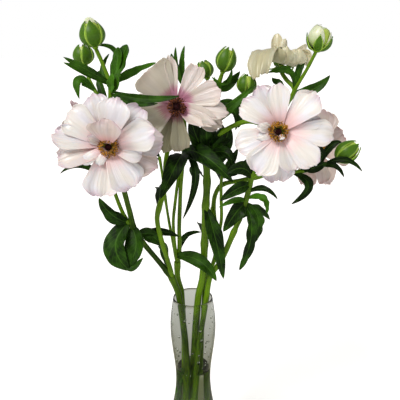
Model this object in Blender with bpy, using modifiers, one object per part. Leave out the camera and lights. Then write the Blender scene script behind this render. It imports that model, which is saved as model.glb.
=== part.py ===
"""Ranunculus in vase: five cut stems of butterfly ranunculus standing in a waisted clear glass vase.

Metres, +Z up. The origin is the middle of the vase's flat base and the blooms look towards -Y.
Sizes and places below are in millimetres, and MM turns them into metres where a mesh is made.
Each leafy stem, ring of petals, flower centre and bud is one closed solid.
"""

import math
from collections import namedtuple

import bmesh
import bpy
from mathutils import Vector

MM = 0.001
GAP = 0.35
MERGE = 0.00002
SMOOTH_ANGLE = math.radians(50)

# Glass vase: radii and heights of its outer wall
RIM_RADIUS = 18.0
RIM_HEIGHT = 190.0
BULGE_RADIUS = 21.1
BULGE_HEIGHT = 160.0
WAIST_RADIUS = 16.6
WAIST_HEIGHT = 105.0
BELLY_RADIUS = 29.0
BELLY_HEIGHT = 17.0
FOOT_RADIUS = 24.0
WALL = 1.6
LIP = 0.6
FLOOR = 8.0
FLOOR_CORNER = 3.0
VASE_SIDES = 28
WATER_LEVEL = 116.0
WATER_SIDES = 20
SLOPE_HEIGHTS = (85.0, 62.0, 38.0)

# Stems
TRUNK_SPACING = 24.0
BRANCH_SPACING = 17.0
FINE_SPACING = 2.0
THICK_STEM = 3.0
HOLE_BELOW = 4.0

# Leaves: how far they fold at the midrib, wave at the edge and lean to face outwards
LEAF_THICKNESS = 0.7
LEAF_FOLD = 0.15
LEAF_WAVE = 0.4
LEAF_STALK = 0.14
LEAF_OUTWARD = 0.45
LEAF_UPWARD = 0.45
BACK_LEAVES = 15.0
NARROW_LEAF = 6.8
LONG_LEAF = 45.0

# Petals: a fan that widens from a narrow neck to BROADEST of the length, then a rounded edge
PETAL_THICKNESS = 0.7
PETAL_ROLL = math.radians(12.0)
PETAL_NECK = 0.16
BROADEST = 0.88
END_NARROWING = 0.18
CORNER_ROUNDING = 0.13
BROAD_PETAL = 22.5
PATH_STEPS = 8

# Bloom: the core that the petals grow from, and the stamens round the dome of carpels
CORE_RADIUS = 5.0
CORE_HALF_HEIGHT = 2.5
ROOT_RADIUS = 2.5
DOME_RADIUS = 3.6
DOME_HALF_HEIGHT = 2.6
STAMENS = 12
STAMEN_FOOT = 2.0
STAMEN_RADII = (0.4, 0.8)
STAMEN_REACHES = (6.6, 5.4)
STAMEN_RISES = (7.6, 8.4)

# Sepals: small ones bent back behind a bloom, and those that still hold the opening bud
SEPALS = 5
SEPAL_SIZE = (12.0, 6.5)
SEPAL_TILTS = (-12, -45, -75)
SEPAL_TURN = 20
RECEPTACLE = (3.4, 2.2)
RECEPTACLE_DROP = 2.6
HOLDING_SIZE = (17.0, 9.5)
HOLDING_TILTS = (8, 62, 98)
HOLDING_RECEPTACLE = (3.0, 1.2)
HOLDING_DROP = 1.6

# Buds: an egg, fullest below its middle, with a rib for each sepal
BUD_SIDES = 10
BUD_RINGS = 7
BUD_FULLEST = 0.86
BUD_ROUNDNESS = 0.62
BUD_RIBS = {"closed": 0.07, "opening": 0.03}

Branch = namedtuple("Branch", "points root_radius tip_radius spacing")
Leaf = namedtuple("Leaf", "root middle tip width")
Petal = namedtuple("Petal", "turn length width tilts lift cup wave")
Bloom = namedtuple("Bloom", "name centre face petals colour")
Bud = namedtuple("Bud", "name base axis length width kind")

STEM_GREEN = (0.13, 0.24, 0.03)
BUD_COLOURS = {"closed": (0.19, 0.33, 0.06), "opening": (0.70, 0.74, 0.45)}
WHITE_PINK = (0.83, 0.70, 0.66)
MAUVE_PINK = (0.72, 0.56, 0.55)
CREAM = (0.77, 0.72, 0.56)
STAMEN_BROWN = (0.28, 0.13, 0.02)
GLASS = (0.80, 0.84, 0.82)
WATER = (0.55, 0.62, 0.45)

BLOOMS = [
    Bloom("bloom_left", (-60, -58, 342), (0.02, -0.96, 0.28), [
        Petal(-18, 37, 25, (5, 8, -12), -1.2, 0.10, 1.2),
        Petal(43, 35, 21, (5, 8, -8), -1.2, 0.10, 1.2),
        Petal(84, 38, 23, (2, 4, -18), -1.6, 0.12, 1.4),
        Petal(111, 36, 25, (0, 5, -18), -1.2, 0.12, 1.4),
        Petal(-46, 35, 28, (24, 18, -6), 0.2, 0.16, 1.2),
        Petal(-81, 35, 21, (18, 14, 0), -0.4, 0.18, 1.0),
        Petal(-107, 35, 19, (12, 16, 12), 0.4, 0.30, 0.8),
        Petal(-166, 34, 30, (14, 10, -24), -0.2, 0.12, 1.6),
        Petal(146, 35, 32, (16, 12, -20), 0.4, 0.12, 1.6),
        Petal(80, 33, 27, (26, 20, -4), 0.2, 0.16, 1.4),
        Petal(11, 33, 32, (30, 26, 2), 0.8, 0.16, 1.4),
        Petal(-4, 26, 25, (4, 92, 58), 1.3, 0.22, 1.2),
        Petal(112, 23, 15, (14, 40, 4), 1.2, 0.20, 0.6),
        Petal(-140, 18, 11, (2, 70, 40), 1.2, 0.30, 0.6),
    ], WHITE_PINK),
    Bloom("bloom_mid", (-12, -18, 367), (0.05, -0.96, 0.27), [
        Petal(-35, 38, 32, (16, 12, -6), 0.0, 0.12, 1.2),
        Petal(-8, 37, 10, (22, 18, 4), 0.6, 0.20, 0.4),
        Petal(34, 35, 15, (22, 18, 6), 0.2, 0.18, 0.6),
        Petal(75, 36, 20, (18, 14, 0), 0.6, 0.14, 1.0),
        Petal(99, 39, 20, (10, 22, -6), -0.2, 0.24, 2.0),
        Petal(132, 31, 19, (8, 14, 0), 0.2, 0.30, 1.4),
        Petal(172, 35, 17, (14, 6, -22), 0.2, 0.18, 1.0),
        Petal(-166, 36, 17, (4, 2, -20), -1.2, 0.14, 1.0),
        Petal(-126, 37, 27, (14, 8, -14), 0.2, 0.14, 1.2),
        Petal(-84, 34, 26, (6, 6, -10), -1.0, 0.12, 1.2),
    ], MAUVE_PINK),
    Bloom("bloom_right", (66, -48, 351), (-0.1, -0.96, 0.25), [
        Petal(-34, 36, 20, (4, 6, -12), -1.4, 0.12, 1.2),
        Petal(-176, 36, 26, (2, 2, -20), -1.6, 0.12, 1.8),
        Petal(67, 30, 14, (8, 10, -4), -1.0, 0.14, 0.8),
        Petal(-56, 33, 20, (24, 18, -4), 0.4, 0.16, 1.2),
        Petal(-108, 32, 26, (16, 10, -8), -0.2, 0.16, 1.0),
        Petal(-152, 35, 27, (16, 10, -14), 0.6, 0.16, 1.0),
        Petal(-8, 33, 20, (22, 18, 2), 0.2, 0.18, 1.0),
        Petal(39, 36, 26, (20, 14, 0), 0.4, 0.16, 1.2),
        Petal(92, 38, 23, (16, 12, -6), 0.2, 0.14, 1.0),
        Petal(124, 33, 26, (20, 10, -12), 0.8, 0.16, 1.0),
        Petal(157, 29, 19, (14, 8, -14), 0.0, 0.18, 1.0),
        Petal(178, 30, 15, (6, 4, -12), -0.8, 0.14, 0.8),
        Petal(-88, 17, 14, (2, 76, 30), 1.3, 0.24, 0.6),
    ], WHITE_PINK),
    Bloom("bloom_white", (74, 18, 400), (0.05, 0.35, 0.93), [
        Petal(78, 43, 27, (42, 6, -96), 0.2, 0.14, 1.0),
        Petal(34, 29, 25, (-24, 12, -40), -0.6, 0.20, 1.4),
        Petal(-28, 29, 29, (-26, 40, 70), 0.0, 0.20, 1.0),
        Petal(-84, 28, 25, (-6, 30, 24), -0.6, 0.18, 1.2),
        Petal(-132, 27, 23, (26, 30, 20), 0.2, 0.20, 1.0),
        Petal(174, 32, 16, (10, 98, 84), 0.6, 0.24, 0.8),
        Petal(126, 28, 22, (28, 28, 10), -0.4, 0.20, 1.0),
    ], CREAM),
    Bloom("bloom_back", (104, 8, 326), (0.30, -0.90, 0.32), [
        Petal(-150, 33, 24, (22, 14, -12), 0.6, 0.14, 1.2),
        Petal(-110, 32, 22, (6, 2, -16), -1.0, 0.12, 1.0),
        Petal(-68, 31, 23, (24, 18, -6), 0.6, 0.16, 1.0),
        Petal(-24, 33, 22, (6, 4, -12), -1.0, 0.12, 1.0),
        Petal(22, 33, 24, (24, 18, -6), 0.6, 0.14, 1.2),
        Petal(66, 32, 22, (6, 4, -10), -1.0, 0.12, 1.0),
        Petal(108, 31, 21, (24, 16, -8), 0.6, 0.16, 1.0),
        Petal(152, 32, 23, (6, 2, -18), -1.0, 0.12, 1.2),
        Petal(-178, 30, 18, (32, 24, 0), 1.2, 0.18, 0.8),
    ], MAUVE_PINK),
]

BUDS = [
    Bud("bud_top_left", (-74.1, -12, 410.0), (-0.18, 0.0, 0.98), 20.0, 18.2, "closed"),
    Bud("bud_left", (-87, 6, 396.0), (-0.08, 0.0, 1.0), 16.5, 15.6, "closed"),
    Bud("bud_centre", (25.1, 5, 391.0), (0.28, 0.0, 0.96), 20.0, 15.5, "closed"),
    Bud("bud_small", (12.9, 20, 385.0), (-0.30, 0.10, 0.95), 15.0, 13.5, "closed"),
    Bud("bud_inner", (43.5, 2, 373.2), (0.12, 0.0, 0.98), 16.5, 15.0, "closed"),
    Bud("bud_opening", (95, -17, 408.2), (0.14, 0.0, 0.99), 18.0, 17.6, "opening"),
    Bud("bud_right", (117.7, -16, 322.2), (0.80, 0.10, 0.58), 22.0, 16.5, "closed"),
]

# Stems: the first branch is the trunk that stands in the water
STEMS = {
    "stem_left": {
        "branches": [
            Branch([(-11, -14, 9), (-5.5, -5.5, 105), (-12.2, -3, 190), (-19, -7, 214)],
                   3.1, 2.8, TRUNK_SPACING),
            Branch([(-18, -6.3, 211), (-27, -10, 226), (-42, -17, 250), (-48, -21, 262), (-51, -27, 282),
                    (-54, -34, 303), (-58, -38, 322), (-60, -43, 336), (-60.1, -54.7, 341.1)],
                   2.4, 2.0, BRANCH_SPACING),
            Branch([(-47, -20.5, 260), (-53, -22, 270), (-59, -22, 283), (-65, -22, 305), (-67, -21, 330),
                    (-66, -19, 355), (-63, -18, 380), (-68, -15, 396), (-73.9, -12, 409.2)],
                   1.6, 1.5, BRANCH_SPACING),
            Branch([(-66, -19, 360), (-76, -9, 375), (-83, -1, 386), (-87, 6, 395.2)],
                   1.4, 1.3, BRANCH_SPACING),
            Branch([(-18.5, -6.6, 212), (-21, -11, 228), (-26, -18, 252), (-29, -23, 273), (-27, -22, 284),
                    (-22, -16, 299), (-22, -8, 317), (-18, -2, 340), (-13.5, -4, 358), (-12.2, -14.7, 366.1)],
                   2.1, 1.8, BRANCH_SPACING),
        ],
        "leaves": [
            Leaf((-63, -18, 383), (-79, -24, 395), (-95, -29, 403), 8.5),
            Leaf((-63, -17, 381), (-56, -13, 397), (-51, -9, 412), 12.0),
            Leaf((-63, -16, 382), (-62, -8, 408), (-75, -3, 412), 4.0),
            Leaf((-66, -15, 381), (-70, -8, 392), (-65, -4, 405), 5.5),
            Leaf((-76, -8, 376), (-88, -13, 385), (-88, -17, 371), 8.0),
            Leaf((-66, -17, 367), (-73, -6, 380), (-75, 1, 392), 6.0),
            Leaf((-64, -18, 375), (-58, -23, 382), (-54, -23, 391), 5.0),
            Leaf((-63, -17, 381), (-46, -7, 391), (-29, 5, 398), 7.5),
            Leaf((-64, -18, 373), (-33, -38, 373), (-8, -44, 376), 10.0),
            Leaf((-65, -22, 305), (-84, -33, 321), (-102, -38, 316), 4.5),
            Leaf((-55, -22, 270), (-65, -30, 280), (-74, -33, 295), 11.5),
            Leaf((-54, -22, 269), (-66, -32, 253), (-54, -36, 234), 13.0),
            Leaf((-51, -22, 266), (-44, -31, 255), (-50, -34, 235), 11.0),
            Leaf((-46, -18, 259), (-36, -14, 256), (-25, -15, 245), 12.0),
            Leaf((-45, -18, 256), (-29, -11, 258), (-11, -13, 254), 7.0),
            Leaf((-22, -9, 219), (-26, 12, 232), (-34, 32, 226), 9.0),
            Leaf((-27, -22, 283), (-33, -4, 296), (-42, 14, 300), 8.0),
        ],
    },
    "stem_mid": {
        "branches": [
            Branch([(-14, 2, 9), (-9, 4, 105), (-10.5, 6.5, 190), (-14, 5, 207), (-14, 5, 223)],
                   2.6, 2.5, TRUNK_SPACING),
            Branch([(-14, 5, 220), (-12, 5, 236), (-12, 5, 255), (-11, 4, 278), (-10, 3, 296), (-8, 3, 316),
                    (-6, 6, 336), (-7, 8, 360), (-7, 9, 386)], 1.9, 1.4, BRANCH_SPACING * 1.5),
            Branch([(-14, 5, 221), (-16, 3, 240), (-17, 2, 262), (-15, 2, 281), (-12, 3, 302), (-9, 3, 314)],
                   1.4, 1.3, BRANCH_SPACING * 1.5),
            Branch([(-14, 5, 219), (-18, 6, 242), (-21, 7, 260), (-24, 8, 282), (-26, 10, 300),
                    (-29, 16, 318)],
                   1.3, 1.1, BRANCH_SPACING * 1.5),
            Branch([(-6.5, 8, 356), (4, 13, 369), (11, 18, 376), (13, 20, 384.2)], 1.3, 1.2, BRANCH_SPACING),
        ],
        "leaves": [
            Leaf((-8, 3, 322), (-12, -17, 320), (-25, -33, 294), 16.0),
            Leaf((-7, 4, 325), (3, -15, 308), (-8, -20, 272), 6.5),
            Leaf((-7, 4, 326), (13, -17, 330), (33, -25, 306), 16.0),
            Leaf((-14, 5, 229), (6, -12, 231), (21, -17, 214), 12.0),
            Leaf((-14, 5, 228), (-7, 12, 244), (8, 14, 248), 5.5),
            Leaf((-7, 9, 380), (-14, 11, 395), (-17, 14, 405), 5.5),
            Leaf((-7, 9, 383), (-8, 10, 398), (-6, 12, 411), 5.0),
            Leaf((-7, 9, 377), (-12, 6, 394), (-13, 6, 410), 4.5),
            Leaf((-29, 16, 317), (-36, 26, 332), (-32, 34, 345), 8.0),
            Leaf((-28, 14, 314), (-44, 20, 318), (-58, 24, 306), 8.0),
            Leaf((-24, 8, 284), (-30, 26, 288), (-28, 44, 272), 8.5),
        ],
    },
    "stem_centre": {
        "branches": [
            Branch([(-6, 14, 9), (-0.5, 3, 105), (5, -1, 190), (9, -3, 212), (10.5, -3, 240), (11, -3, 270),
                    (12.5, -2, 296), (12, 0, 322)], 3.4, 2.8, TRUNK_SPACING),
            Branch([(12, 0, 319), (11, 1, 336), (15, 3, 354), (20, 4, 372), (22, 5, 381), (24.9, 5, 390.2)],
                   2.0, 1.5, BRANCH_SPACING),
            Branch([(12, 0, 320), (17, -5, 336), (29, -12, 347), (44, -20, 354), (57, -28, 352),
                    (64, -34, 348.5), (66.3, -44.7, 350.2)], 2.1, 1.8, BRANCH_SPACING),
            Branch([(17, 3.5, 361), (29, 5, 363), (40, 3.5, 366), (43.4, 2, 372.4)],
                   1.3, 1.2, BRANCH_SPACING),
        ],
        "leaves": [
            Leaf((11, -3, 279), (20, -15, 252), (27, -19, 217), 13.0),
            Leaf((12, 0, 322), (4, 9, 333), (-1, 15, 346), 10.0),
            Leaf((12, 0, 323), (24, -8, 331), (31, -7, 349), 15.0),
            Leaf((12, 1, 333), (22, -9, 336), (32, -5, 342), 10.0),
            Leaf((12, 0, 322), (27, -14, 328), (33, -16, 315), 9.5),
            Leaf((13, 1, 348), (28, -8, 361), (51, -9, 382), 7.0),
            Leaf((19, 4, 368), (17, 11, 377), (19, 15, 386), 6.0),
            Leaf((21, 4, 376), (30, 11, 380), (40, 14, 391), 8.5),
            Leaf((18, 4, 364), (34, 1, 360), (36, -2, 344), 7.5),
            Leaf((22, 5, 381), (29, -2, 384), (32, -4, 394), 4.0),
            Leaf((12, 1, 330), (22, 18, 338), (20, 34, 328), 9.5),
            Leaf((12, -2, 300), (2, 16, 306), (2, 32, 292), 9.5),
            Leaf((10.5, -3, 244), (7, 16, 254), (10, 34, 246), 8.5),
        ],
    },
    "stem_thin": {
        "branches": [
            Branch([(12, 6, 9), (8, 4, 105), (10.5, 6, 190), (12.5, 6, 206), (19, 6, 222), (22, 6, 240),
                    (20, 7, 260), (18, 8, 274)], 2.0, 1.9, TRUNK_SPACING),
            Branch([(18.3, 8, 271), (20, 9, 285), (26, 10, 294), (43, 14, 297), (60, 19, 299), (80, 26, 306),
                    (96, 27, 317), (102, 20, 322.5), (103, 11.1, 324.9)], 1.9, 1.7, BRANCH_SPACING),
            Branch([(22, 6, 244), (25.5, 5, 262), (25, 3, 286), (25, 1, 301), (27, 0, 310)],
                   1.5, 1.3, BRANCH_SPACING),
        ],
        "leaves": [
            Leaf((27, 0, 308), (31, -9, 317), (38, -10, 331), 7.5),
            Leaf((26, 0, 307), (38, 2, 309), (47, 8, 318), 7.0),
            Leaf((48, 15, 298), (60, 34, 306), (76, 48, 298), 9.0),
            Leaf((26, 11, 294), (22, 28, 300), (30, 46, 290), 8.5),
            Leaf((84, 27, 308), (84, 42, 322), (92, 50, 338), 8.0),
        ],
    },
    "stem_right": {
        "branches": [
            Branch([(1, -16, 9), (2, -6, 105), (12.6, -1.5, 190), (16, -3, 212), (25, -4, 227),
                    (37, -6, 258)],
                   2.6, 2.4, TRUNK_SPACING),
            Branch([(36, -6, 255), (43, -8, 276), (47, -10, 292), (50, -12, 308), (57, -15, 328),
                    (67, -14, 350), (76, -9, 366), (83, -2, 377), (77, 6, 385), (73.8, 12.5, 391),
                    (73.8, 16.8, 396.8)],
                   2.2, 1.6, BRANCH_SPACING),
            Branch([(76, -9, 365), (83, -13, 381), (90, -16, 396), (94.9, -17, 407.4)],
                   1.4, 1.3, BRANCH_SPACING),
            Branch([(50, -12, 306), (58, -16, 311), (70, -20, 312), (88, -22, 314), (104, -20, 318),
                    (117, -16.1, 321.7)], 1.5, 1.4, BRANCH_SPACING),
        ],
        "leaves": [
            Leaf((45, -9, 281), (37, -18, 278), (26, -22, 262), 12.0),
            Leaf((46, -9, 282), (51, -20, 260), (42, -25, 228), 8.5),
            Leaf((46, -9, 284), (60, -14, 272), (56, -15, 248), 7.0),
            Leaf((46, -9, 285), (35, -20, 289), (22, -24, 284), 4.5),
            Leaf((47, -10, 287), (58, -20, 291), (63, -24, 280), 5.0),
            Leaf((48, -11, 293), (59, -20, 299), (70, -24, 291), 5.0),
            Leaf((49, -11, 299), (37, -21, 299), (25, -25, 289), 7.5),
            Leaf((82, -3, 375), (97, -8, 378), (109, -10, 389), 8.5),
            Leaf((80, -5, 371), (70, -2, 381), (66, 5, 386), 7.5),
            Leaf((82, -3, 376), (86, 3, 391), (93, 8, 402), 6.5),
            Leaf((86, -22, 314), (102, -30, 304), (82, -31, 289), 6.5),
            Leaf((103, -20, 318), (103, -26, 330), (93, -29, 334), 6.5),
            Leaf((103, -20, 318), (112, -13, 332), (122, -12, 336), 6.5),
            Leaf((106, -20, 319), (122, -25, 324), (136, -27, 315), 5.0),
            Leaf((104, -20, 318), (113, -29, 320), (120, -33, 312), 5.0),
            Leaf((40, -7, 268), (56, 8, 272), (70, 14, 260), 9.0),
            Leaf((70, -13, 355), (62, 6, 364), (58, 22, 358), 8.0),
        ],
    },
}

# The stems whose many crossing blades the exact solver leaves with loose scraps
CROWDED = ("stem_left", "stem_mid", "stem_right")


def clear_scene():
    """Remove every object, so that the file holds only this part."""
    for item in list(bpy.data.objects):
        bpy.data.objects.remove(item, do_unlink=True)


def new_collection(name):
    """A collection in the scene."""
    group = bpy.data.collections.new(name)
    bpy.context.scene.collection.children.link(group)
    return group


def finish(name, colour, roughness, transmission=0.0, sheen=0.0):
    """The material of one sub-part."""
    material = bpy.data.materials.new(name + "_finish")
    material.use_nodes = True
    shader = material.node_tree.nodes["Principled BSDF"]
    shader.inputs["Base Color"].default_value = (*colour, 1.0)
    shader.inputs["Roughness"].default_value = roughness
    shader.inputs["Metallic"].default_value = 0.0
    shader.inputs["Transmission Weight"].default_value = transmission
    shader.inputs["Sheen Weight"].default_value = sheen
    return material


def mesh_object(name, mesh, group, material=None):
    """A new object in a collection, shaded smooth except at sharp edges."""
    item = bpy.data.objects.new(name, mesh)
    group.objects.link(item)
    mesh.shade_smooth()
    mesh.set_sharp_from_angle(angle=SMOOTH_ANGLE)
    if material:
        mesh.materials.clear()
        mesh.materials.append(material)
    return item


def shaped(name, shape, group, material=None):
    """A new object that holds a finished bmesh."""
    mesh = bpy.data.meshes.new(name)
    shape.to_mesh(mesh)
    shape.free()
    return mesh_object(name, mesh, group, material)


def applied(item, name):
    """The mesh that an object shows with its modifiers."""
    bpy.context.view_layer.update()
    depsgraph = bpy.context.evaluated_depsgraph_get()
    mesh = bpy.data.meshes.new_from_object(item.evaluated_get(depsgraph))
    mesh.name = name
    return mesh


def fuse(name, body, repeats, group, material):
    """Join a body and the repeats that grow from it into one closed solid."""
    repeats_group = new_collection(name + "_repeats")
    for item in repeats:
        group.objects.unlink(item)
        repeats_group.objects.link(item)
    union = body.modifiers.new("Union", "BOOLEAN")
    union.operation = "UNION"
    union.operand_type = "COLLECTION"
    union.collection = repeats_group
    union.solver = "MANIFOLD" if name in CROWDED else "EXACT"
    mesh = applied(body, name)
    keep_largest(mesh)
    for item in [body] + repeats:
        bpy.data.objects.remove(item, do_unlink=True)
    bpy.data.collections.remove(repeats_group)
    return mesh_object(name, mesh, group, material)


def keep_largest(mesh):
    """Drop the loose scraps that a union can leave, and keep the one solid body."""
    shape = bmesh.new()
    shape.from_mesh(mesh)
    waiting = set(shape.faces)
    bodies = []
    while waiting:
        found = [waiting.pop()]
        for face in found:
            near = {other for edge in face.edges for other in edge.link_faces} & waiting
            waiting -= near
            found.extend(near)
        bodies.append(found)
    bodies.sort(key=len)
    for scrap in bodies[:-1]:
        bmesh.ops.delete(shape, geom=scrap, context="FACES")
    shape.to_mesh(mesh)
    shape.free()


def smooth_route(points, spacing):
    """Points about `spacing` apart on a smooth curve through a route's own points."""
    places = [Vector(point) for point in points]
    knots = [0.0]
    for before, after in zip(places, places[1:]):
        knots.append(knots[-1] + (after - before).length)
    last = len(places) - 1
    slopes = []
    for index in range(last + 1):
        low = max(index - 1, 0)
        high = min(index + 1, last)
        slopes.append((places[high] - places[low]) / (knots[high] - knots[low]))
    count = max(2, round(knots[-1] / spacing))
    return [hermite(places, slopes, knots, knots[-1] * step / count) for step in range(count + 1)]


def hermite(places, slopes, knots, travelled):
    """The point of the smooth curve at a distance along it."""
    index = 0
    while index < len(knots) - 2 and travelled > knots[index + 1]:
        index += 1
    span = knots[index + 1] - knots[index]
    t = (travelled - knots[index]) / span
    from_start = places[index] * (2 * t ** 3 - 3 * t ** 2 + 1)
    from_end = places[index + 1] * (3 * t ** 2 - 2 * t ** 3)
    leaving = slopes[index] * span * (t ** 3 - 2 * t ** 2 + t)
    arriving = slopes[index + 1] * span * (t ** 3 - t ** 2)
    return from_start + from_end + leaving + arriving


def tube(name, branch, group, extra=0.0, past_start=0.0):
    """A closed tube along a branch, wider by `extra` and longer at its start by `past_start`."""
    route = smooth_route(branch.points, branch.spacing)
    route[0] += (route[0] - route[1]).normalized() * past_start
    curve = bpy.data.curves.new(name, "CURVE")
    curve.dimensions = "3D"
    curve.bevel_depth = MM
    curve.bevel_resolution = 2 if branch.root_radius > THICK_STEM else 1
    curve.use_fill_caps = True
    spline = curve.splines.new("POLY")
    spline.points.add(len(route) - 1)
    for index, (point, place) in enumerate(zip(spline.points, route)):
        share = index / (len(route) - 1)
        point.co = (*(place * MM), 1.0)
        point.radius = branch.root_radius * (1 - share) + branch.tip_radius * share + extra
    guide = bpy.data.objects.new(name + "_guide", curve)
    group.objects.link(guide)
    shape = bmesh.new()
    shape.from_mesh(applied(guide, name))
    bpy.data.objects.remove(guide, do_unlink=True)
    bmesh.ops.remove_doubles(shape, verts=shape.verts, dist=MERGE)
    bmesh.ops.recalc_face_normals(shape, faces=shape.faces)
    return shaped(name, shape, group)


def blade(name, surface, across, along, thickness, group):
    """A thin closed blade on surface(u, v), where u runs from -1 to 1 across and v from 0 to 1 along."""
    shape = bmesh.new()
    bmesh.ops.create_grid(shape, x_segments=across, y_segments=along, size=1.0)
    for vert in shape.verts:
        vert.co = surface(vert.co.x, 0.5 + 0.5 * vert.co.y) * MM
    bmesh.ops.remove_doubles(shape, verts=shape.verts, dist=MERGE)
    bmesh.ops.triangulate(shape, faces=shape.faces)
    item = shaped(name, shape, group)
    solid = item.modifiers.new("Solidify", "SOLIDIFY")
    solid.thickness = thickness * MM
    solid.offset = 0.0
    return item


def ball(name, place, radii, axis, segments, rings, group):
    """An ellipsoid with radii (across, along) its axis."""
    shape = bmesh.new()
    bmesh.ops.create_uvsphere(shape, u_segments=segments, v_segments=rings, radius=1.0)
    turned = Vector(axis).to_track_quat("Z", "Y").to_matrix()
    for vert in shape.verts:
        local = Vector((vert.co.x * radii[0], vert.co.y * radii[0], vert.co.z * radii[1]))
        vert.co = (Vector(place) + turned @ local) * MM
    return shaped(name, shape, group)


def leaf_surface(leaf, centre_lines):
    """The surface of a lance-shaped leaf, folded along its midrib and waved at its edges."""
    root = min(centre_lines, key=lambda point: (point - Vector(leaf.root)).length)
    middle = Vector(leaf.middle)
    tip = Vector(leaf.tip)
    control = middle * 2 - (root + tip) / 2
    outward = Vector((middle.x, middle.y, 0.0)).normalized() * LEAF_OUTWARD
    outward += Vector((0.0, -1.0 if tip.y < BACK_LEAVES else 0.0, LEAF_UPWARD))

    def surface(u, v):
        place = root * (1 - v) ** 2 + control * 2 * v * (1 - v) + tip * v ** 2
        along = ((control - root) * (1 - v) + (tip - control) * v).normalized()
        side = along.cross(outward).normalized()
        half = leaf.width / 2 * leaf_outline(v)
        wave = LEAF_WAVE * math.sin(9.0 * v + 2.0 * u) * v * (1 - v)
        lift = leaf.width * abs(u) * (LEAF_FOLD * leaf_outline(v) + wave)
        return place + side * half * u + side.cross(along) * lift

    return surface


def leaf_outline(v):
    """How wide a leaf is at v, as a share of its greatest width: a stalk, a full middle, a long point."""
    stalk = LEAF_STALK * (1 - v)
    if not 0 < v < 1:
        return stalk
    return stalk + math.sin(math.pi * v ** 0.9) ** 0.75 * (1 - stalk)


def bloom_axes(face):
    """The unit vectors of a bloom: out of its face, up across it, and to a viewer's right."""
    normal = Vector(face).normalized()
    up = (Vector((0.0, 0.0, 1.0)) - normal * normal.z).normalized()
    return normal, up, up.cross(normal)


def petal_surface(bloom, petal):
    """The surface of one petal: a fan on a narrow neck, tilted along its length, cupped and waved."""
    normal, up, right = bloom_axes(bloom.face)
    turn = math.radians(petal.turn)
    outward = up * math.cos(turn) + right * math.sin(turn)
    side = outward.cross(normal)
    centre = Vector(bloom.centre)

    def surface(u, v):
        distance, rise, tilt = petal_path(petal, v * (1 - CORNER_ROUNDING * u * u * v * v))
        upward = normal * math.cos(tilt) - outward * math.sin(tilt)
        across = side * math.cos(PETAL_ROLL) + upward * math.sin(PETAL_ROLL)
        half = petal.width / 2 * petal_outline(v)
        lift = petal.cup * half * u * u + petal.wave * math.sin(2.6 * u + petal.turn) * v ** 3
        return centre + outward * distance + normal * rise + across * half * u + upward * lift

    return surface


def petal_path(petal, reach):
    """Distance from the bloom's axis, rise along it and tilt, at a share of a petal's length."""
    root, middle, tip = (math.radians(angle) for angle in petal.tilts)
    stride = petal.length * reach / PATH_STEPS
    distance = ROOT_RADIUS
    rise = petal.lift
    tilt = root
    for step in range(PATH_STEPS):
        share = reach * (step + 0.5) / PATH_STEPS
        tilt = root * (1 - share) ** 2 + 2 * middle * share * (1 - share) + tip * share ** 2
        distance += stride * math.cos(tilt)
        rise += stride * math.sin(tilt)
    return distance, rise, tilt


def petal_outline(v):
    """How wide a petal is at v, as a share of its greatest width."""
    spread = min(v / BROADEST, 1.0) ** 0.8
    rounding = max(0.0, v - BROADEST) / (1 - BROADEST)
    return (PETAL_NECK + (1 - PETAL_NECK) * spread) * (1 - END_NARROWING * rounding ** 2)


def build_petals(bloom, group):
    """All the petals of a bloom, with the small core that they grow from."""
    name = bloom.name + "_petals"
    core = ball(name + "_core", bloom.centre, (CORE_RADIUS, CORE_HALF_HEIGHT), bloom.face, 8, 5, group)
    petals = []
    for index, petal in enumerate(bloom.petals):
        across = 3 if petal.width > BROAD_PETAL else 2
        surface = petal_surface(bloom, petal)
        petals.append(blade(f"{name}_{index}", surface, across, 3, PETAL_THICKNESS, group))
    return fuse(name, core, petals, group, finish(name, bloom.colour, 0.5, sheen=0.3))


def build_centre(bloom, group):
    """The dome of carpels with a ring of stamens round it, just clear of the petals' core."""
    name = bloom.name + "_centre"
    normal, up, right = bloom_axes(bloom.face)
    centre = Vector(bloom.centre)
    place = centre + normal * (CORE_HALF_HEIGHT + GAP + DOME_HALF_HEIGHT)
    dome = ball(name + "_dome", place, (DOME_RADIUS, DOME_HALF_HEIGHT), normal, 8, 5, group)
    stamens = []
    for index in range(STAMENS):
        turn = 2 * math.pi * index / STAMENS
        outward = up * math.cos(turn) + right * math.sin(turn)
        head = centre + outward * STAMEN_REACHES[index % 2] + normal * STAMEN_RISES[index % 2]
        stamens.append(stamen(f"{name}_stamen_{index}", place + outward * STAMEN_FOOT, head, group))
    return fuse(name, dome, stamens, group, finish(name, STAMEN_BROWN, 0.7))


def stamen(name, foot, head, group):
    """A three-sided club from the dome out to an anther."""
    shape = bmesh.new()
    axis = head - foot
    bmesh.ops.create_cone(shape, cap_ends=True, segments=3, radius1=STAMEN_RADII[0],
                          radius2=STAMEN_RADII[1], depth=axis.length)
    turned = axis.to_track_quat("Z", "Y").to_matrix()
    for vert in shape.verts:
        vert.co = ((foot + head) / 2 + turned @ vert.co) * MM
    return shaped(name, shape, group)


def ring_of_sepals(name, seat, face, size, tilts, turn, radii, group):
    """Five sepals on the receptacle at a stem's end."""
    holder = Bloom(name, seat, face, [], STEM_GREEN)
    blades = []
    for index in range(SEPALS):
        sepal = Petal(360 / SEPALS * index + turn, size[0], size[1], tilts, 0.0, 0.2, 0.0)
        surface = petal_surface(holder, sepal)
        blades.append(blade(f"{name}_sepal_{index}", surface, 1, 2, LEAF_THICKNESS, group))
    return [ball(name + "_receptacle", seat, radii, face, 6, 4, group)] + blades


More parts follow.
